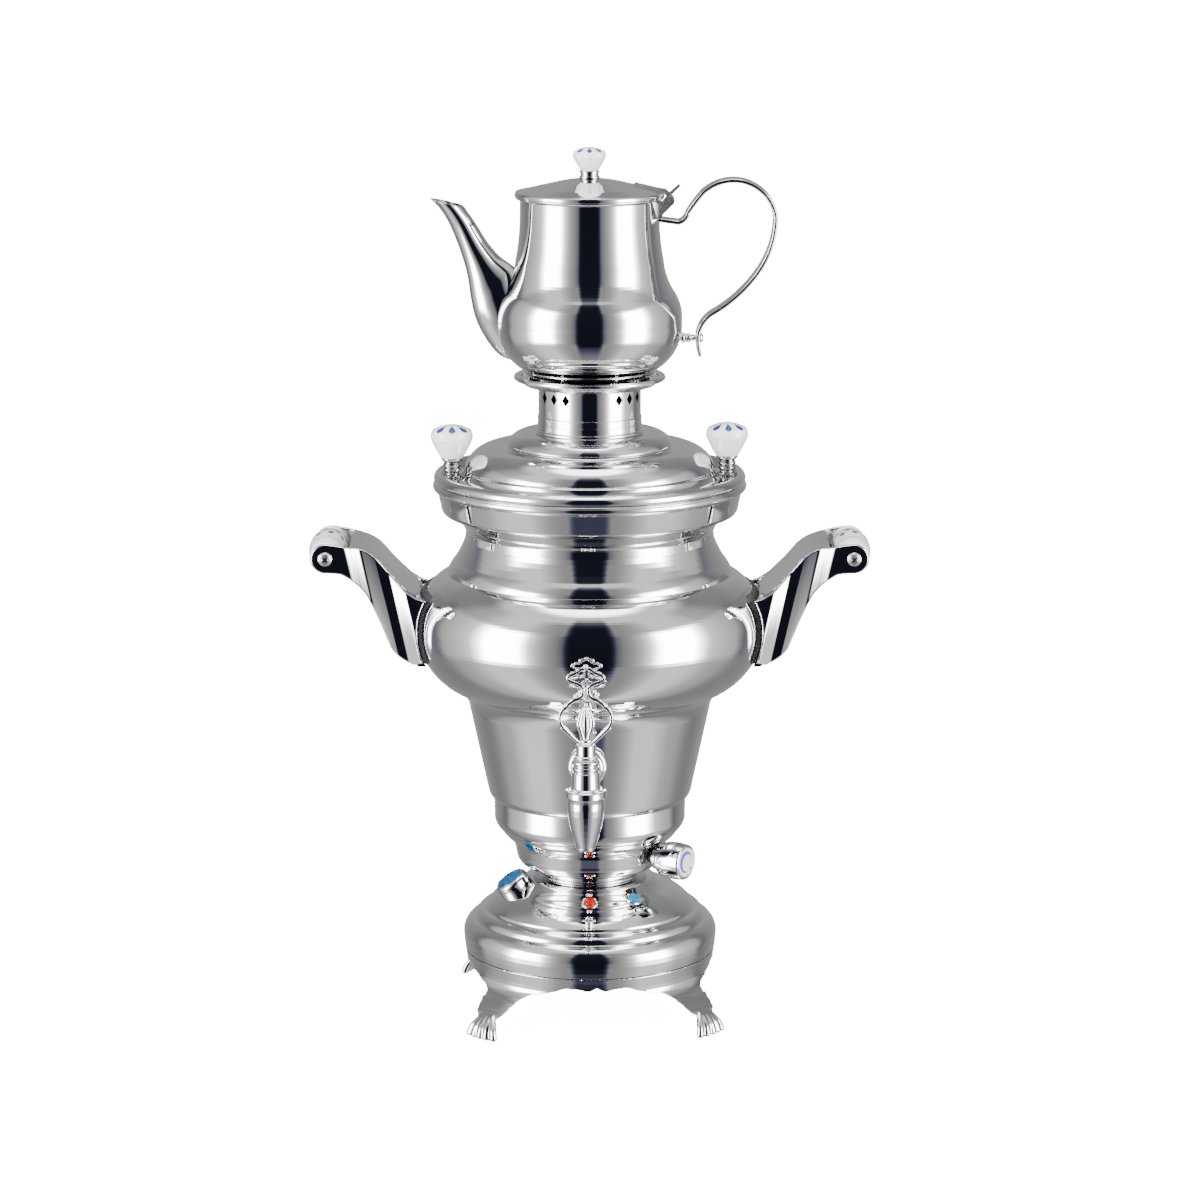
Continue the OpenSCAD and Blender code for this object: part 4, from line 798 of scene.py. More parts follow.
# ---------------------------------------------------------------- side handles
bolt_z = belly_z + belly_h * 0.556
arm_top = [
    (grip_x, grip_z + ear_r, 0.04), (grip_x - 14, grip_z + 6.6, 0.2),
    (grip_x - 32, grip_z - 2.2, -0.02), (belly_r + 4, bolt_z + 25, -0.05), (belly_r - 16, bolt_z + 14)]
arm_low = [
    (belly_r - 12, bolt_z - 22), (belly_r, bolt_z - 19.8, 0.16), (belly_r + 13.5, bolt_z - 10, -0.02),
    (belly_r + 26.5, bolt_z + 20, -0.16), (grip_x - 9, grip_z - ear_r - 0.6, -0.04),
    (grip_x, grip_z - ear_r, 1)]
belly_part = [k for k in body_keys if belly_z - 20 <= k[1] <= throat_z + 22]

def belly_at(z, d=0.0):
    """Radius of the belly grown by d along its normal, at height z."""
    return radius_at(arcs(moved(belly_part, -d), 2), z)

def arm_outline(y, d):
    """The arm's outline in the plane y, from the belly grown by d outwards."""
    ring = arcs(arm_low + arm_top, 4)
    keep = [p for p in ring if math.hypot(p[0], y) > belly_at(p[1], d) + 0.05]
    low, high = keep[0], keep[-1]
    n = 26
    side = []
    for i in range(n + 1):
        z = high[1] + (low[1] - high[1]) * i / n
        r = belly_at(z, d)
        side.append((math.sqrt(max(r * r - y * y, 1)), z))
    return keep + side[1:-1]

hollow_lean = 0.22

def slope_at(s):
    """Slope of the cheek's face at the distance s outwards: a hollow between two flat bands."""
    for s0, s1, deg in ((134.4, 142.8, -25.5), (126.0, 133.6, 10.5), (112.6, 120.4, 27.0)):
        if s0 <= s < s1:
            return math.tan(math.radians(deg))
    return 0.0

hollow, depth = {}, 0.0
for k in range(1640, 1000, -1):
    depth -= slope_at(k / 10) * 0.1
    hollow[k] = depth

def hollow_at(x, z):
    return hollow.get(round((x + hollow_lean * (grip_z - z)) * 10), 0.0)

def waved(data, s):
    """A cheek cut into strips and pressed hollow."""
    bm = bmesh.new()
    vs = [bm.verts.new(v) for v in data[0]]
    for f in data[1]:
        bm.faces.new([vs[i] for i in f])
    for k in range(94):
        bmesh.ops.bisect_plane(bm, geom=bm.verts[:] + bm.edges[:] + bm.faces[:],
                               plane_co=(106 + 0.5 * k, 0, grip_z), plane_no=(1, 0, -hollow_lean))
    for v in bm.verts:
        v.co.y -= s * hollow_at(v.co.x, v.co.z)
    bm.verts.index_update()
    out = [tuple(v.co) for v in bm.verts], [tuple(v.index for v in f.verts) for f in bm.faces]
    bm.free()
    return out

def flange_data():
    """The arm's foot, a slab that follows the belly."""
    z0, z1, half, tall, wide = bolt_z - 20.5, bolt_z + 18.5, handle_w / 2 - 1.2, 28, 24
    verts, faces = [], []
    for i in range(tall + 1):
        z = z0 + (z1 - z0) * i / tall
        for d in (gasket_t + 0.05, gasket_t + flange_t):
            r = belly_at(z, d)
            for y in [-half + 2 * half * j / wide for j in range(wide + 1)]:
                verts.append((math.sqrt(r * r - y * y), y, z))

    def at(i, layer, j):
        return (i * 2 + layer) * (wide + 1) + j

    for i in range(tall):
        for j in range(wide):
            for layer in (0, 1):
                faces.append((at(i, layer, j), at(i, layer, j + 1), at(i + 1, layer, j + 1),
                              at(i + 1, layer, j)))
        for j in (0, wide):
            faces.append((at(i, 0, j), at(i, 1, j), at(i + 1, 1, j), at(i + 1, 0, j)))
    for j in range(wide):
        for i in (0, tall):
            faces.append((at(i, 0, j), at(i, 0, j + 1), at(i, 1, j + 1), at(i, 1, j)))
    return verts, faces

def web_data():
    """The arm's web under its top edge, between the cheeks."""
    half = handle_w / 2 - cheek_t + 0.5
    end = grip_x - grip_r - 2

    def kept(p, end):
        return belly_at(p[1], gasket_t) - 1 < p[0] < end

    top = [p for p in arcs(arm_top, 4) if kept(p, end)]
    under = [p for p in arcs(moved(arm_top, web_t), 4) if kept(p, end - 0.2)]
    verts, faces = plate_data(top + under[::-1], -half, half, 0.0, 1)
    return [(x, y - math.copysign(hollow_at(x, z), y), z) for x, y, z in verts], faces

def handle(side):
    half = handle_w / 2
    parts = []
    for s in (-1, 1):
        y0, y1 = sorted((s * half, s * (half - cheek_t)))
        cheek = arm_outline(half - cheek_t / 2, gasket_t + 0.3)
        parts.append(waved(plate_data(cheek, y0, y1, 1.1, 4), s))
    verts, faces = joined(*parts, web_data(), flange_data())
    return [(side * x, y, z) for x, y, z in verts], faces

for side, word in ((1, "right"), (-1, "left")):
    build("arm_" + word, *handle(side), chrome, "samovar", node="handle_" + word, sharp=35)
    half = (handle_w - 2 * cheek_t - 0.4) / 2
    end = grip_r - 1.9
    ring = [(end - 0.8, -half, 0.3), (end, -half + 1.2), (end, -half + 3.0, 0.3),
            (end - 0.9, -half + 3.8, -0.3),
            (end - 0.1, -half + 4.8, 0.35), (end - 0.7, -half + 6.4)]
    swell, run = grip_r - end + 0.7, half - 6.4
    mid = [(end - 0.7 + swell * math.cos(math.pi / 2 * (z / run)) ** 0.8, z)
           for z in [-run + 2 * run * i / 40 for i in range(1, 40)]]
    outer = arcs(ring, 10)
    outer = outer + mid + [(x, -z) for x, z in outer[::-1]]
    at = place(0, (side * grip_x, 0, grip_z), 90)
    g = lathe("grip_" + word + "_porcelain",
              eased(outer + [(grip_bolt_r + 0.1, half), (grip_bolt_r + 0.1, -half)], 0.3, closed=True),
              grip_glaze, "samovar",
              closed=True, seg=128, node="grip_" + word, matrix=at)
    give_uv(g, at)
bolts = []
for side in (1, -1):
    for s in (0, 180):
        at = Matrix.Translation((side * grip_x, 0, grip_z)) @ spin(90, "X") @ spin(s, "Y")
        pts = eased(arcs([(0, -2), (grip_bolt_r, -2), (grip_bolt_r, handle_w / 2 - 0.3),
                          (4.1, handle_w / 2), (4.1, handle_w / 2 + 0.8, 0.3),
                          (2.4, handle_w / 2 + 2.2, 0.15), (0, handle_w / 2 + 2.6)], 8), 0.25)
        bolts.append(turned_data(lathe_data(framed(pts), seg=48), at))
build("grip_screws", *joined(*bolts), satin, "samovar", node="grip_bolts")
# Near-black blades in the screw heads: painted shade in the screw slots.
slots = []
for side in (1, -1):
    for a in (45, 135):
        bar_at = Matrix.Translation((side * grip_x, 0, grip_z)) @ spin(a, "Y")
        for s in (1, -1):
            y0, y1 = sorted((s * (handle_w / 2 + 2.0), s * (handle_w / 2 + 2.64)))
            blade = [(-2.0, -0.45), (2.0, -0.45), (2.0, 0.45), (-2.0, 0.45)]
            slots.append(turned_data(plate_data(blade, y0, y1, 0.1, 1), bar_at))
build("screw_crosses", *joined(*slots), painted_shade, "samovar")
nuts = []
for side in (1, -1):
    for s in (1, -1):
        nut_y, nut_z = 23.5, bolt_z + 18.5
        r = belly_at(nut_z, gasket_t + flange_t)
        nut_x = math.sqrt(r * r - nut_y * nut_y)
        out = Vector((side * nut_x, s * nut_y, r * 0.35))
        lie = out.normalized().to_track_quat("Z", "Y").to_matrix().to_4x4()
        nut_at = Matrix.Translation((side * nut_x, s * nut_y, nut_z)) @ lie
        nuts.append(turned_data(lathe_data([(0, -1), (4.4, -1), (4.4, 0.5), (0, 0.5)], seg=32), nut_at))
        nut_line = eased([(0, 0.4), (3.5, 0.4), (3.5, 3.0), (2.9, 3.5), (0, 3.5)], 0.2)
        nuts.append(turned_data(lathe_data(nut_line, seg=6), nut_at))
        nuts.append(turned_data(ball_data((0, 0, 3.4), 2.0, 1.6), nut_at))
build("flange_nuts", *joined(*nuts), satin, "samovar", sharp=30)

# ---------------------------------------------------------------- tap
barrel_z = tap_z - 9
tap_wall = waist_r + (cone_r - waist_r) * (barrel_z - waist_z) / (belly_z - 11.5 - waist_z)
nozzle_z, bell_top, plug_z, flange_y = tap_z - 46.5, tap_z + 7.5, tap_z - 12.5, tap_wall + 3.2
run_gap = 0.08
at_tap = spin(tap_angle) @ Matrix.Translation((0, -tap_y, 0))
at_barrel = spin(tap_angle) @ Matrix.Translation((0, 0, barrel_z)) @ spin(90, "X")
bell = eased(arcs([
    (outlet_r, nozzle_z), (outlet_r + 1, nozzle_z, 0.25), (outlet_r + 1.7, nozzle_z + 1.5, 0.09),
    (10.8, tap_z - 17.4), (11.2, tap_z - 15.6, 0.3), (11.9, tap_z - 14.4), (11.9, tap_z - 12.0, 0.35),
    (9.8, tap_z - 10.4, -0.3), (8.2, tap_z - 8.8), (7.9, tap_z - 1.2, 0.3), (7.3, tap_z - 0.2),
    (7.3, tap_z + 0.4, 0.4), (7.5, tap_z + 2.8), (7.0, tap_z + 3.3), (7.0, tap_z + 3.9),
    (7.9, tap_z + 4.6, 0.4), (7.7, tap_z + 6.6), (7.1, bell_top), (plug_r + run_gap, bell_top),
    (plug_r + run_gap, plug_z), (outlet_r, plug_z)]), 0.3, closed=True)
barrel = eased(arcs([
    (outlet_r, tap_wall - 14), (7, tap_wall - 14), (7, flange_y), (11.4, flange_y),
    (11.4, flange_y + 1.6, 0.25), (9.0, flange_y + 3.2, -0.2), (6.6, flange_y + 6), (6.4, tap_y - 14.5),
    (7.4, tap_y - 13.5, 0.4), (7.4, tap_y - 11.5), (6.4, tap_y - 10.5), (6.4, tap_y - 7),
    (outlet_r, tap_y - 7)]), 0.35, closed=True)
build("tap_casting", *joined(
    turned_data(lathe_data(framed(bell, closed=True), True, 128), at_tap),
    turned_data(lathe_data(framed(barrel, closed=True), True, 96), at_barrel)), chrome, "samovar",
    node="tap_body")

build("tap_washer",
      *turned_data(lathe_data(eased([(7.1, tap_wall - 2.5), (10.8, tap_wall - 2.5),
                                     (10.8, flange_y - 0.05), (7.1, flange_y - 0.05)], 0.4, closed=True),
                              True, 96), at_barrel),
      rubber, "samovar", node="tap_gasket")

bow_z = bell_top + 9.5
lantern = [(12.9, 8.6), (14.3, 11.2), (14.7, 14.2), (14.2, 17.2), (12.6, 19.5), (10.9, 20.9), (9.9, 22.4),
           (8.2, 23.6), (6.4, 25.0), (4.0, 25.8), (2.2, 27.4), (1.6, 29.6), (1.5, 32.4)]
loop = [(1.5, 31.8), (2.6, 33.2), (5.2, 34.6), (7.9, 35.6), (10.0, 37.0), (9.6, 38.7), (7.2, 40.0),
        (5.0, 41.0), (3.0, 42.6), (0.8, 43.4)]
parts = [lathe_data(framed(eased([(0, plug_z + 0.3), (plug_r, plug_z + 0.3), (plug_r, bell_top + 0.6)]
         + arcs([(6.6, bell_top + 0.3, 0.3), (6.6, bell_top + 1.3, -0.2), (5.7, bell_top + 1.8),
                 (5.7, bell_top + 7.6, 0.3), (4.4, bell_top + 8.8, -0.1), (3.2, bell_top + 9.6)]), 0.2)
         + arcs([(3.4, bell_top + 9.8, 0.4), (3.0, bell_top + 11.4), (0, bell_top + 12.2)])), seg=96)]

def bar(line, w, t):
    """A flat bar of the bow along points given in x and in z over the bow's root."""
    return tube_data(blended([(x, 0, z + bow_z) for x, z in line], 7), t, w, 20, 3.4)

def bead(x, z, r, tall):
    return ball_data((x, 0, bow_z + z), r, tall)

def petal_taper(u):
    return tuple([0.45 + 0.55 * math.sin(math.pi * min(1.0, 0.1 + u * 0.95)) ** 0.8] * 2)

def rod_taper(u):
    return 0.6 + 0.4 * u, 0.62 + 0.38 * u

def ridge_taper(u):
    return 0.7 + 0.3 * math.sin(math.pi * u), 0.45 + 0.55 * math.sin(math.pi * u)

def petal_data(s, x0, x1, r):
    """A leaf inside the lantern in front, and the same behind."""
    line = [(x1 * 0.7, -0.6, -2), (x1, -0.9, 4), (x0, -1.2, 10.5), (x0 * 0.85, -0.8, 15),
            (x0 * 0.3, 0, 20.4)]
    line = blended([(s * x, y, bow_z + z) for x, y, z in line], 6)
    back = [(x, -y, z) for x, y, z in line]
    return [tube_data(leaf, r, r, 16, 2.0, petal_taper) for leaf in (line, back)]

side_beads = ((13.1, 8.6, 1.9, 1.9), (11.2, 21.4, 1.5, 1.5), (6.2, 26.6, 1.1, 1.7), (8.0, 23.9, 1.3, 1.2),
              (7.4, 40.3, 1.45, 1.2), (4.2, 42.1, 1.3, 1.1), (4.6, 13.6, 1.5, 1.3), (4.4, 10.8, 1.2, 1.1))
for s in (1, -1):
    parts += [bar([(s * x, z) for x, z in lantern], 1.15, 1.9),
              bar([(s * x, z) for x, z in loop], 1.1, 1.9)]
    rod = [(s * x, 0, z + bow_z) for x, z in ((2.2, -2.4), (12.9, 8.4))]
    parts.append(tube_data(rod, 1.9, 1.7, 20, 2.0, rod_taper))
    parts += [bead(s * x, z, r, tall) for x, z, r, tall in side_beads]
    parts += petal_data(s, 3.9, 2.1, 1.5) + petal_data(s, 2.2, 1.2, 1.0)
parts += [bead(0, 21.6, 1.2, 1.5), bead(0, 43.6, 2.2, 1.3), bead(0, 44.6, 1.3, 1.0)]
ridge = [(0, 0, bow_z + z) for z in (2.0, 5.0, 9.0, 12.0, 15.0, 18.6)]
parts.append(tube_data(ridge, 2.6, 1.5, 20, 4.5, ridge_taper))
cup = lathe_data([(0, 0), (3.9, 0), (4.1, 1.0), (3.2, 1.8), (0, 1.8)], seg=32)
parts.append(turned_data(cup, Matrix.Translation((0, 0, bow_z - 1.4))))
build("tap_key_bow", *turned_data(joined(*parts), at_tap), chrome, "tap_key", node="tap_key")

# ---------------------------------------------------------------- cover, crown and saucer
lip_r, steam_r = rim_r - sheet - 3.6, crown_r - 4
cover_keys = [
    (rim_r - 0.3, cover_z), (rim_r, cover_z + 1.2, 0.35), (rim_r - 3.4, cover_z + 5.4, 0.3),
    (rim_r - 5.8, brim_z + 1, -0.2), (rim_r - 6.4, brim_z), (cover_dome_r + 2.6, brim_z, -0.3),
    (cover_dome_r, brim_z + 6, 0.48), (tier_r - 0.9, cover_z + cover_h - 9.4, -0.2),
    (tier_r - 0.9, cover_z + cover_h - 7.2), (tier_r, cover_z + cover_h - 6, 0.45),
    (crown_r + 1.2, crown_z), (steam_r, crown_z)]
cover_lining = [
    (rim_r - 6.4, brim_z), (cover_dome_r + 2.6, brim_z, -0.3), (cover_dome_r, brim_z + 6, 0.48),
    (tier_r - 0.4, cover_z + cover_h - 9.4), (tier_r - 0.9, cover_z + cover_h - 5, 0.4),
    (crown_r + 1.2, crown_z), (steam_r, crown_z)]
inner = arcs(moved(cover_lining, sheet))
lip = [(lip_r - sheet, brim_z - sheet), (lip_r - sheet, cover_z - 6), (lip_r, cover_z - 6),
       (lip_r, cover_z)]
section = arcs(cover_keys) + inner[::-1][:-1] + lip
lathe("cover_shell", eased(section, 0.3, closed=True), steel, "cover", closed=True, seg=256, node="cover")

stem_h = 11.6
stem_pts = eased(arcs([(1.5, -4), (1.5, -3.6), (3.2, -3.6), (3.2, -sheet), (1.5, -sheet), (1.5, 0),
                       (5.8, 0, 0.3), (5.6, 1.4), (4.6, 2.0, -0.2), (4.3, 3.2), (4.9, 3.8, 0.4),
                       (4.9, 5.6),
                       (4.4, 6.1), (5.0, 6.6, 0.4), (5.0, 8.4), (4.5, 8.9), (6.0, stem_h - 1.4, 0.3),
                       (6.4, stem_h), (1.5, stem_h)], 10), 0.25, closed=True)

def knob_profile(r, h):
    return [(0, 0), (r * 0.48, 0), (r * 0.52, h * 0.02, 0.05), (r * 0.95, h * 0.57, 0.2),
            (r * 0.88, h * 0.83, 0.14), (0, h)]

for s, word in ((1, "right"), (-1, "left")):
    at = place(cover_turn + (0 if s > 0 else 180), (knob_at, 0, brim_z))
    lathe("knob_stem_" + word, stem_pts, nickel, "cover", closed=True, seg=64,
          node="cover_knob_stems" if s > 0 else None, matrix=at)
    up = at @ Matrix.Translation((0, 0, stem_h * MM))
    g = lathe("knob_" + word, eased(arcs(knob_profile(knob_r, knob_h)), 0.5), knob_glaze, "cover",
              seg=128,
              node="cover_knobs" if s > 0 else None, matrix=up)
    give_uv(g, up)

vent_z = saucer_z - 3.8
crown_line = eased(arcs([(steam_r - 0.1, crown_z - 3), (steam_r - 0.1, crown_z + 0.05),
                         (crown_r + 0.9, crown_z + 0.05, 0.35),
              (crown_r + 0.9, crown_z + 3), (crown_r + 0.5, crown_z + 3.2),
              (crown_r + 0.5, crown_z + 6, 0.2),
              (crown_r + 0.3, crown_z + 7.2), (crown_r + 0.5, crown_z + 10.4, 0.2),
              (crown_r, crown_z + 11.4),
              (crown_r, vent_z - vent_h / 2 - 0.4)]), 0.25)
crown_line = framed(crown_line)
angles = sorted((a + 3.6 + 360) % 360 for c in (31, 47, 64) for a in (c, -c, 180 - c, 180 + c))
half_a = math.degrees(2.5 / crown_r)
z_lo, z_hi = vent_z - vent_h / 2 - 0.4, saucer_z
spans = []
for i, a in enumerate(angles):
    spans.append(("vent", a - half_a, a + half_a))
    nxt = (angles[(i + 1) % 12] - half_a) + (360 if i == 11 else 0)
    spans.append(("wall", a + half_a, nxt))
cols = []
for kind, a0, a1 in spans:
    n = 8 if kind == "vent" else max(1, round((a1 - a0) / 1.5))
    cols += [(kind, a0 + (a1 - a0) * j / n, a0 + (a1 - a0) * (j + 1) / n, a0, a1) for j in range(n)]
verts, faces = [], []

def around(a, z, r=crown_r):
    t = math.radians(a)
    return (r * math.sin(t), -r * math.cos(t), z)

def quad(*p):
    n = len(verts)
    verts.extend(p)
    faces.append(tuple(range(n, n + len(p))))
for kind, a, b, a0, a1 in cols:
    if kind == "wall":
        for z0, z1 in ((z_lo, vent_z), (vent_z, z_hi)):
            quad(around(a, z0), around(b, z0), around(b, z1), around(a, z1))
    else:
        mid = (a0 + a1) / 2
        fa, fb = 1 - abs(a - mid) / half_a, 1 - abs(b - mid) / half_a
        ha, hb = vent_h / 2 * fa, vent_h / 2 * fb
        quad(around(a, z_lo), around(b, z_lo), around(b, vent_z - hb), around(a, vent_z - ha))
        quad(around(a, vent_z + ha), around(b, vent_z + hb), around(b, z_hi), around(a, z_hi))
for (r0, z0), (r1, z1) in zip(crown_line, crown_line[1:]):
    for kind, a, b, a0, a1 in cols:
        quad(around(a, z0, r0), around(b, z0, r0), around(b, z1, r1), around(a, z1, r1))
ring = build("crown_ring", verts, faces, steel, "cover", node="crown")
# The wall's inner face and the vent rims take the near-black second material: painted shade for the dark
# inside of the crown.
wall = ring.modifiers.new("wall", "SOLIDIFY")
wall.thickness, wall.offset, wall.use_even_offset = sheet * MM, -1, False
wall.material_offset = wall.material_offset_rim = 1
ring.data.materials.append(painted_shade)
baked(ring)
ring.data.set_sharp_from_angle(angle=math.radians(35))

saucer_keys = [(crown_r - 3.4, saucer_z + 0.05), (crown_r + 0.4, saucer_z + 0.05),
               (crown_r + 8, saucer_z + 2.2, -0.15), (saucer_r - 1.4, saucer_z + 5, 0.9),
               (saucer_r - 1.4, saucer_z + 8.2)]
saucer_lining = [(crown_r - 3.4, saucer_z + 1.6), (crown_r + 0.4, saucer_z + 1.6),
                 (crown_r + 7.4, saucer_z + 3.6, -0.1),
                 (saucer_r - 4.4, saucer_z + saucer_rise - 1.2), (saucer_r - 4.4, saucer_z + 7.6)]
parts = [lathe_data(framed(shell(saucer_keys, saucer_lining, 0.3), closed=True), True, 192)]
for k in range(6):
    rib = [(-crown_r - 5.6 + x, saucer_z + 0.8 + z) for x, z in ((0, 0), (9, 0), (9, 6.2), (0, 6.2))]
    fin = plate_data(rib, -1, 1, 0.35, 2)
    parts.append(turned_data(fin, spin(60 * k + 120)))
build("saucer", *joined(*parts), steel, "cover", node="crown_saucer")

# ---------------------------------------------------------------- teapot
pot_keys = [
    (0, pot_z), (pot_foot_r - 2.5, pot_z), (pot_foot_r + 1, pot_z + 1.1, 0.3),
    (pot_foot_r + 3.5, pot_z + 4, 0.3), (pot_r, pot_z + 32, 0.16), (pot_r - 3.6, pot_z + 48.4, -0.13),
    (mouth_r + 2.8, pot_z + 68, -0.04), (mouth_r + 0.1, pot_z + 92), (mouth_r, mouth_z - 0.5, 0.4),
    (mouth_r - 0.5, mouth_z)]
pot_lining = [
    (0, pot_z), (pot_foot_r - 2.5, pot_z), (pot_foot_r + 1, pot_z + 1.1),
    (pot_foot_r + 3.5, pot_z + 4, 0.3), (pot_r, pot_z + 32, 0.16), (pot_r - 3.6, pot_z + 48.4, -0.13),
    (mouth_r + 2.8, pot_z + 68, -0.04), (mouth_r + 0.1, pot_z + 92), (mouth_r, mouth_z)]
lathe("pot", eased(arcs(pot_keys) + arcs(moved(pot_lining, pot_wall))[::-1], 0.3), steel, "teapot",
      seg=256, node="teapot_body")

stations = [
    (-42, 8, -36, 52, 10.5), (-52.5, 11.6, -40, 57, 11.2), (-60.7, 21.2, -42, 60.5, 11.4),
    (-66.6, 32.6, -44, 64, 11), (-69.6, 44.5, -47.4, 66.8, 10.2), (-71.8, 59.5, -53, 71, 9.3),
    (-75.6, 73, -60, 79.4, 8.5), (-81.7, 88.6, -66.9, 90.6, 8), (-87.6, 98.4, -70.6, 95.8, 8.1),
    (-93.2, 104.2, -73.4, 99.8, 8.4)]

def spout_ring(s, t, n=64):
    """An ellipse of the spout at one station, drawn in by the wall t."""
    lx, lz, hx, hz, w = s
    mx, mz, dx, dz = (lx + hx) / 2, (lz + hz) / 2, (hx - lx) / 2, (hz - lz) / 2
    k = (math.hypot(dx, dz) - t) / math.hypot(dx, dz)
    return [(mx + dx * k * math.cos(2 * math.pi * i / n), (w - t) * math.sin(2 * math.pi * i / n),
             pot_z + mz + dz * k * math.cos(2 * math.pi * i / n)) for i in range(n)]

rows = blended(stations)
tip = rows[-1]

def opened(by, t):
    """The spout's last ring, drawn back and opened by a little, as its rounded edge."""
    return spout_ring((tip[0] - by, tip[1] + by - 0.05, tip[2] - by, tip[3] + by - 0.05, tip[4]), t)

loops = [spout_ring(s, 0.0) for s in rows]
loops += [opened(0.3, 0.25), opened(0.35, 0.7), spout_ring(tip, pot_wall)]
loops += [spout_ring(s, pot_wall) for s in rows[::-1][1:]]
n = 64
verts = [p for loop in loops for p in loop]
faces = [(k * n + i, k * n + (i + 1) % n, ((k + 1) % len(loops)) * n + (i + 1) % n,
          ((k + 1) % len(loops)) * n + i) for k in range(len(loops)) for i in range(n)]
spout = loose("spout_raw", (verts, faces))
core = loose("core",
             lathe_data(framed(arcs(pot_keys)[:-1] + [(mouth_r - 0.5, mouth_z), (0, mouth_z)]), seg=192))
for v in core.data.vertices:
    r = math.hypot(v.co.x, v.co.y)
    if r > 1e-5:
        v.co.x, v.co.y = v.co.x * (1 - 0.0002 / r), v.co.y * (1 - 0.0002 / r)
cut_away(spout, core)
spout.name = "spout"
dress(spout, steel, "teapot", "teapot_spout", sharp=50)

strap_keys = [
    (mouth_r - 1, mouth_z - 11.5), (mouth_r + 11.2, mouth_z - 13.2, 0.3),
    (mouth_r + 16.6, mouth_z - 7.2, -0.04), (mouth_r + 25.4, mouth_z + 4.4, -0.19),
    (pot_r + 29.9, mouth_z + 11.3, -0.38), (pot_r + 54.3, mouth_z - 10.7, -0.15),
    (pot_r + 44, pot_z + 61.6, -0.11), (pot_r + 17.2, pot_z + 37.2, 0.22),
    (pot_r + 9.2, pot_z + 24.4, 0.08), (pot_r + 10.6, pot_z + 11.8)]
line = arcs(strap_keys, 3)
fine = [line[0]]
for a, b in zip(line, line[1:]):
    k = max(1, math.ceil(math.dist(a, b) / 1.5))
    fine += [(a[0] + (b[0] - a[0]) * j / k, a[1] + (b[1] - a[1]) * j / k) for j in range(1, k + 1)]

def tail(u):
    """Thins the strap towards its free end."""
    t = max(0.0, (u - 0.93) / 0.07) ** 2
    return 1.0 - 0.25 * t, 1.0 - 0.35 * t

build("strap", *tube_data([(x, 0, z) for x, z in fine], strap_w / 2, strap_t / 2, 32, 4.2, tail), chrome,
      "teapot", node="teapot_handle")
stud_z = pot_z + 22.4
at = place(0, (0, 0, stud_z), 90, "Y")
pts = eased(arcs([(0, pot_r - 7), (3.2, pot_r - 7), (3.2, pot_r - 4.6), (1.55, pot_r - 4.6),
                  (1.55, pot_r - 0.6), (3.2, pot_r - 0.4, 0.2), (2.9, pot_r + 1.5),
                  (2.1, pot_r + 2.1, 0.5),
                  (2.1, pot_r + 5.0), (1.7, pot_r + 5.6), (2.4, pot_r + 6.8), (1.55, pot_r + 7.2),
                  (1.55, pot_r + 10.6), (3, pot_r + 10.9, 0.3), (1.4, pot_r + 12.5), (0, pot_r + 12.8)],
                  8), 0.2)
lathe("stud", pts, chrome, "teapot", seg=64, node="handle_stud", matrix=at)

lid_keys = [
    (mouth_r - 2.9, pot_lid_z - 5), (mouth_r - 1.8, pot_lid_z - 5), (mouth_r - 1.8, pot_lid_z),
    (mouth_r + 2.1, pot_lid_z, 0.3), (mouth_r + 2.9, pot_lid_z + 1.3, 0.3),
    (mouth_r + 2.5, pot_lid_z + 4.2), (mouth_r - 0.3, pot_lid_z + 4.5, 0.02),
    (mouth_r - 16.8, pot_lid_z + 8.6, 0.06), (0, pot_lid_z + pot_lid_h)]
lid_lining = [
    (mouth_r - 2.9, pot_lid_z - 5), (mouth_r - 2.9, pot_lid_z + 3.3, 0.02),
    (mouth_r - 16.8, pot_lid_z + 7.5, 0.06), (0, pot_lid_z + pot_lid_h - 1.1)]
lathe("pot_lid",
      eased(arcs(lid_keys), 0.3)[:-1] + [(0.02, pot_lid_z + pot_lid_h)] + arcs(lid_lining)[::-1], steel,
      "teapot_lid", seg=256, closed=True, node="teapot_lid")
lid_top = pot_lid_z + pot_lid_h
at = place(0, (0, 0, lid_top))
pts = eased(arcs([(0, -4), (3.2, -4), (3.2, -1.7), (1.5, -1.7), (1.5, 0), (6.0, 0, 0.2), (5.9, 1.0),
                  (5.3, 1.4), (5.3, 2.8), (5.9, 3.2, 0.3), (5.7, 4.2), (0, 4.2)]), 0.2)
lathe("lid_collar", pts, chrome, "teapot_lid", seg=64, node="lid_ferrule", matrix=at)
at = place(0, (0, 0, lid_top + 4.2))

def fluted(a, z):
    """Eight shallow flutes round the lid's knob."""
    t = max(0.0, min(1.0, z / 13.6))
    return 1 - 0.07 * (1 - abs(math.cos(4 * a))) * math.sin(math.pi * min(1, t * 1.15)) ** 0.8

g = lathe("knob_lid", eased(arcs(knob_profile(10.2, 13.6)), 0.4), lid_glaze, "teapot_lid", seg=192,
          wobble=fluted, node="lid_knob", matrix=at)
give_uv(g, at)

# ---------------------------------------------------------------- floor, light and camera
scene = bpy.context.scene

def floor():
    """A pale floor that looks white and that no reflection shows."""
    mesh = bpy.data.meshes.new("floor")
    mesh.from_pydata([(-30, -30, 0), (30, -30, 0), (30, 30, 0), (-30, 30, 0)], [], [(0, 1, 2, 3)])
    plane = bpy.data.objects.new("floor", mesh)
    scene.collection.objects.link(plane)
    k = Look("pale_floor").set(Roughness=0.9, Specular_IOR_Level=0.1)
    ray = k.node("ShaderNodeLightPath").outputs["Is Camera Ray"]
    k.link(k.mix(ray, (0.55, 0.55, 0.55), (0.95, 0.95, 0.96)), "Base Color")
    k.link(k.mul(ray, 15.0), "Emission Strength")
    k.bsdf.inputs["Emission Color"].default_value = (1, 1, 1, 1)
    mesh.materials.append(k.mat)
    plane.visible_glossy = False

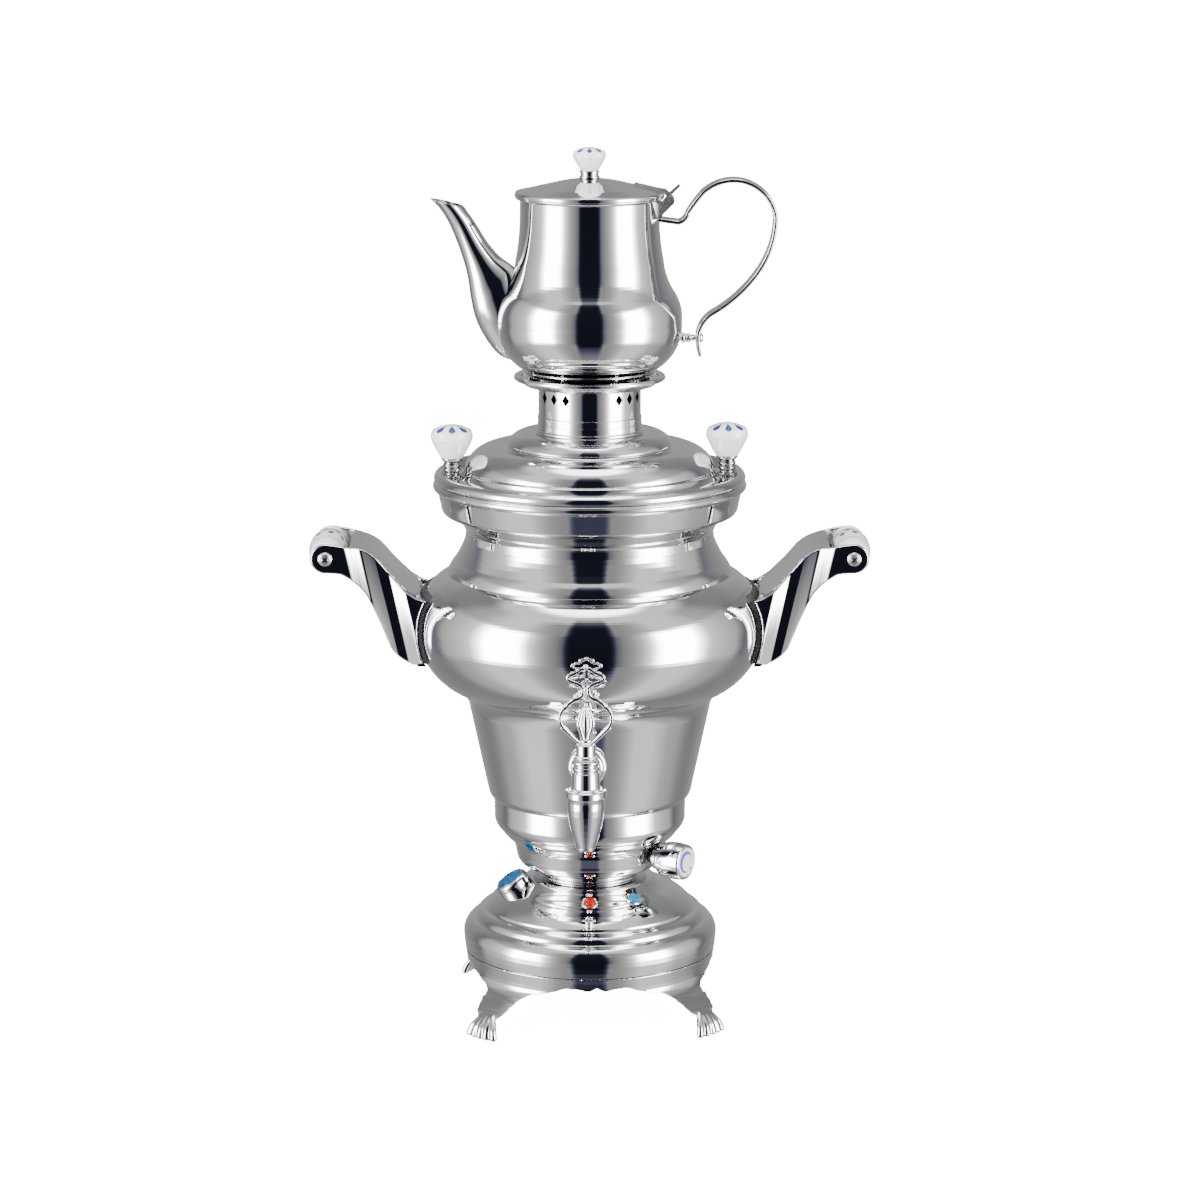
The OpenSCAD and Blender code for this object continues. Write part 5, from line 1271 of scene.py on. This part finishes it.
def studio():
    """Soft light from the sides and above, dark ahead, and a white ground for the camera."""
    world = bpy.data.worlds.new("studio")
    scene.world = world
    world.use_nodes = True
    nt = world.node_tree
    k = Look.__new__(Look)
    k.nt, k.bsdf = nt, None
    bg = nt.nodes["Background"]
    co = k.node("ShaderNodeTexCoord").outputs["Generated"]
    sep = k.node("ShaderNodeSeparateXYZ")
    nt.links.new(co, sep.inputs[0])
    x, y, z = sep.outputs
    az = k.div(k.math("ABSOLUTE", k.math("ARCTAN2", x, k.mul(y, -1.0))), math.pi)
    el = k.math("ARCSINE", z)

    def ramp(fac, stops, lo, hi):
        """Brightness by angle: stops are (degrees, radiance), blended in equal ratios."""
        n = k.node("ShaderNodeValToRGB")
        e = n.color_ramp.elements
        while len(e) > 1:
            e.remove(e[-1])
        for i, (p, c) in enumerate(stops):
            t = (p - lo) / (hi - lo)
            s = e[0] if i == 0 else e.new(t)
            s.position = t
            v = math.log2(c / 0.01) / 11
            s.color = (v, v, v, 1)
        nt.links.new(fac, n.inputs[0])
        return n.outputs[0]
    wide = ramp(az, [(0, 0.33), (24, 0.36), (32, 0.47), (40, 0.70), (50, 1.15), (70, 1.15), (80, 0.9),
                     (90, 0.62), (104, 0.5), (118, 0.3),
                     (128, 0.27), (150, 0.3), (166, 0.34), (180, 0.3)], 0, 180)
    band = ramp(az, [(0, 0.010), (11, 0.010), (17, 0.16), (22, 0.3), (28, 0.45), (34, 0.8), (40, 1.9),
                     (47, 14), (51, 19), (72, 19), (79, 4.5),
                     (86, 1.3), (96, 0.9), (112, 0.6), (122, 0.2), (134, 0.28), (150, 0.36), (166, 0.45),
                     (180, 0.4)], 0, 180)
    tall = k.div(k.add(el, math.pi / 2), math.pi)
    gap = ramp(tall, [(-90, 0.4), (-72, 0.36), (-56, 0.25), (-48, 0.18), (-40, 0.11), (-32, 0.05),
                      (-27, 0.0102), (46, 0.014), (56, 0.12), (64, 0.9), (90, 1.2)], -90, 90)
    inside = k.mul(k.step(el, math.radians(-27), math.radians(-18)),
                   k.step(el, math.radians(26), math.radians(35), 1.0, 0.0))
    value = k.mix(inside, wide, band)
    value = k.mix(k.step(el, math.radians(50), math.radians(60)), value, (0.617, 0.617, 0.617))
    dark = k.step(az, 11 / 180, 19 / 180, 1.0, 0.0)
    value = k.mix(dark, value, gap)
    value = k.mix(k.step(el, math.radians(66), math.radians(76)), value, (0.85, 0.85, 0.85))
    tone = k.mul(k.math("POWER", 2.0, k.mul(value, 11.0)), 0.01)
    hue = k.mix(k.step(tone, 0.02, 0.3), (0.85, 0.9, 1.6), (1.0, 0.995, 0.985))
    shade = k.node("ShaderNodeVectorMath", operation="SCALE")
    nt.links.new(hue, shade.inputs[0])
    nt.links.new(tone, shade.inputs["Scale"])
    ray = k.node("ShaderNodeLightPath").outputs["Is Camera Ray"]
    nt.links.new(k.mix(ray, shade.outputs[0], (16.0, 16.0, 16.0)), bg.inputs["Color"])
    bg.inputs["Strength"].default_value = 1.0

def lamps():
    aim = Vector((0, 0, 0.2))
    for spot, size, watts in (((-1.3, -1.6, 1.25), 0.12, 60), ((1.6, -1.0, 1.3), 0.5, 22)):
        lamp_data = bpy.data.lights.new("key", "AREA")
        lamp_data.energy, lamp_data.size = watts, size
        lamp_obj = bpy.data.objects.new("key", lamp_data)
        scene.collection.objects.link(lamp_obj)
        lamp_obj.location = spot
        lamp_obj.rotation_euler = (aim - Vector(spot)).to_track_quat("-Z", "Y").to_euler()
        lamp_obj.visible_glossy = False

def camera():
    cam = bpy.data.cameras.new("camera")
    cam.lens, cam.sensor_width, cam.sensor_fit = 118.14, 36, "HORIZONTAL"
    cam.clip_end = 100
    eye = bpy.data.objects.new("camera", cam)
    scene.collection.objects.link(eye)
    eye.location = (0.0061, -2.298, 0.735)
    eye.rotation_euler = (math.radians(90 - 11.93), 0, 0)
    scene.camera = eye

floor()
studio()
lamps()
camera()
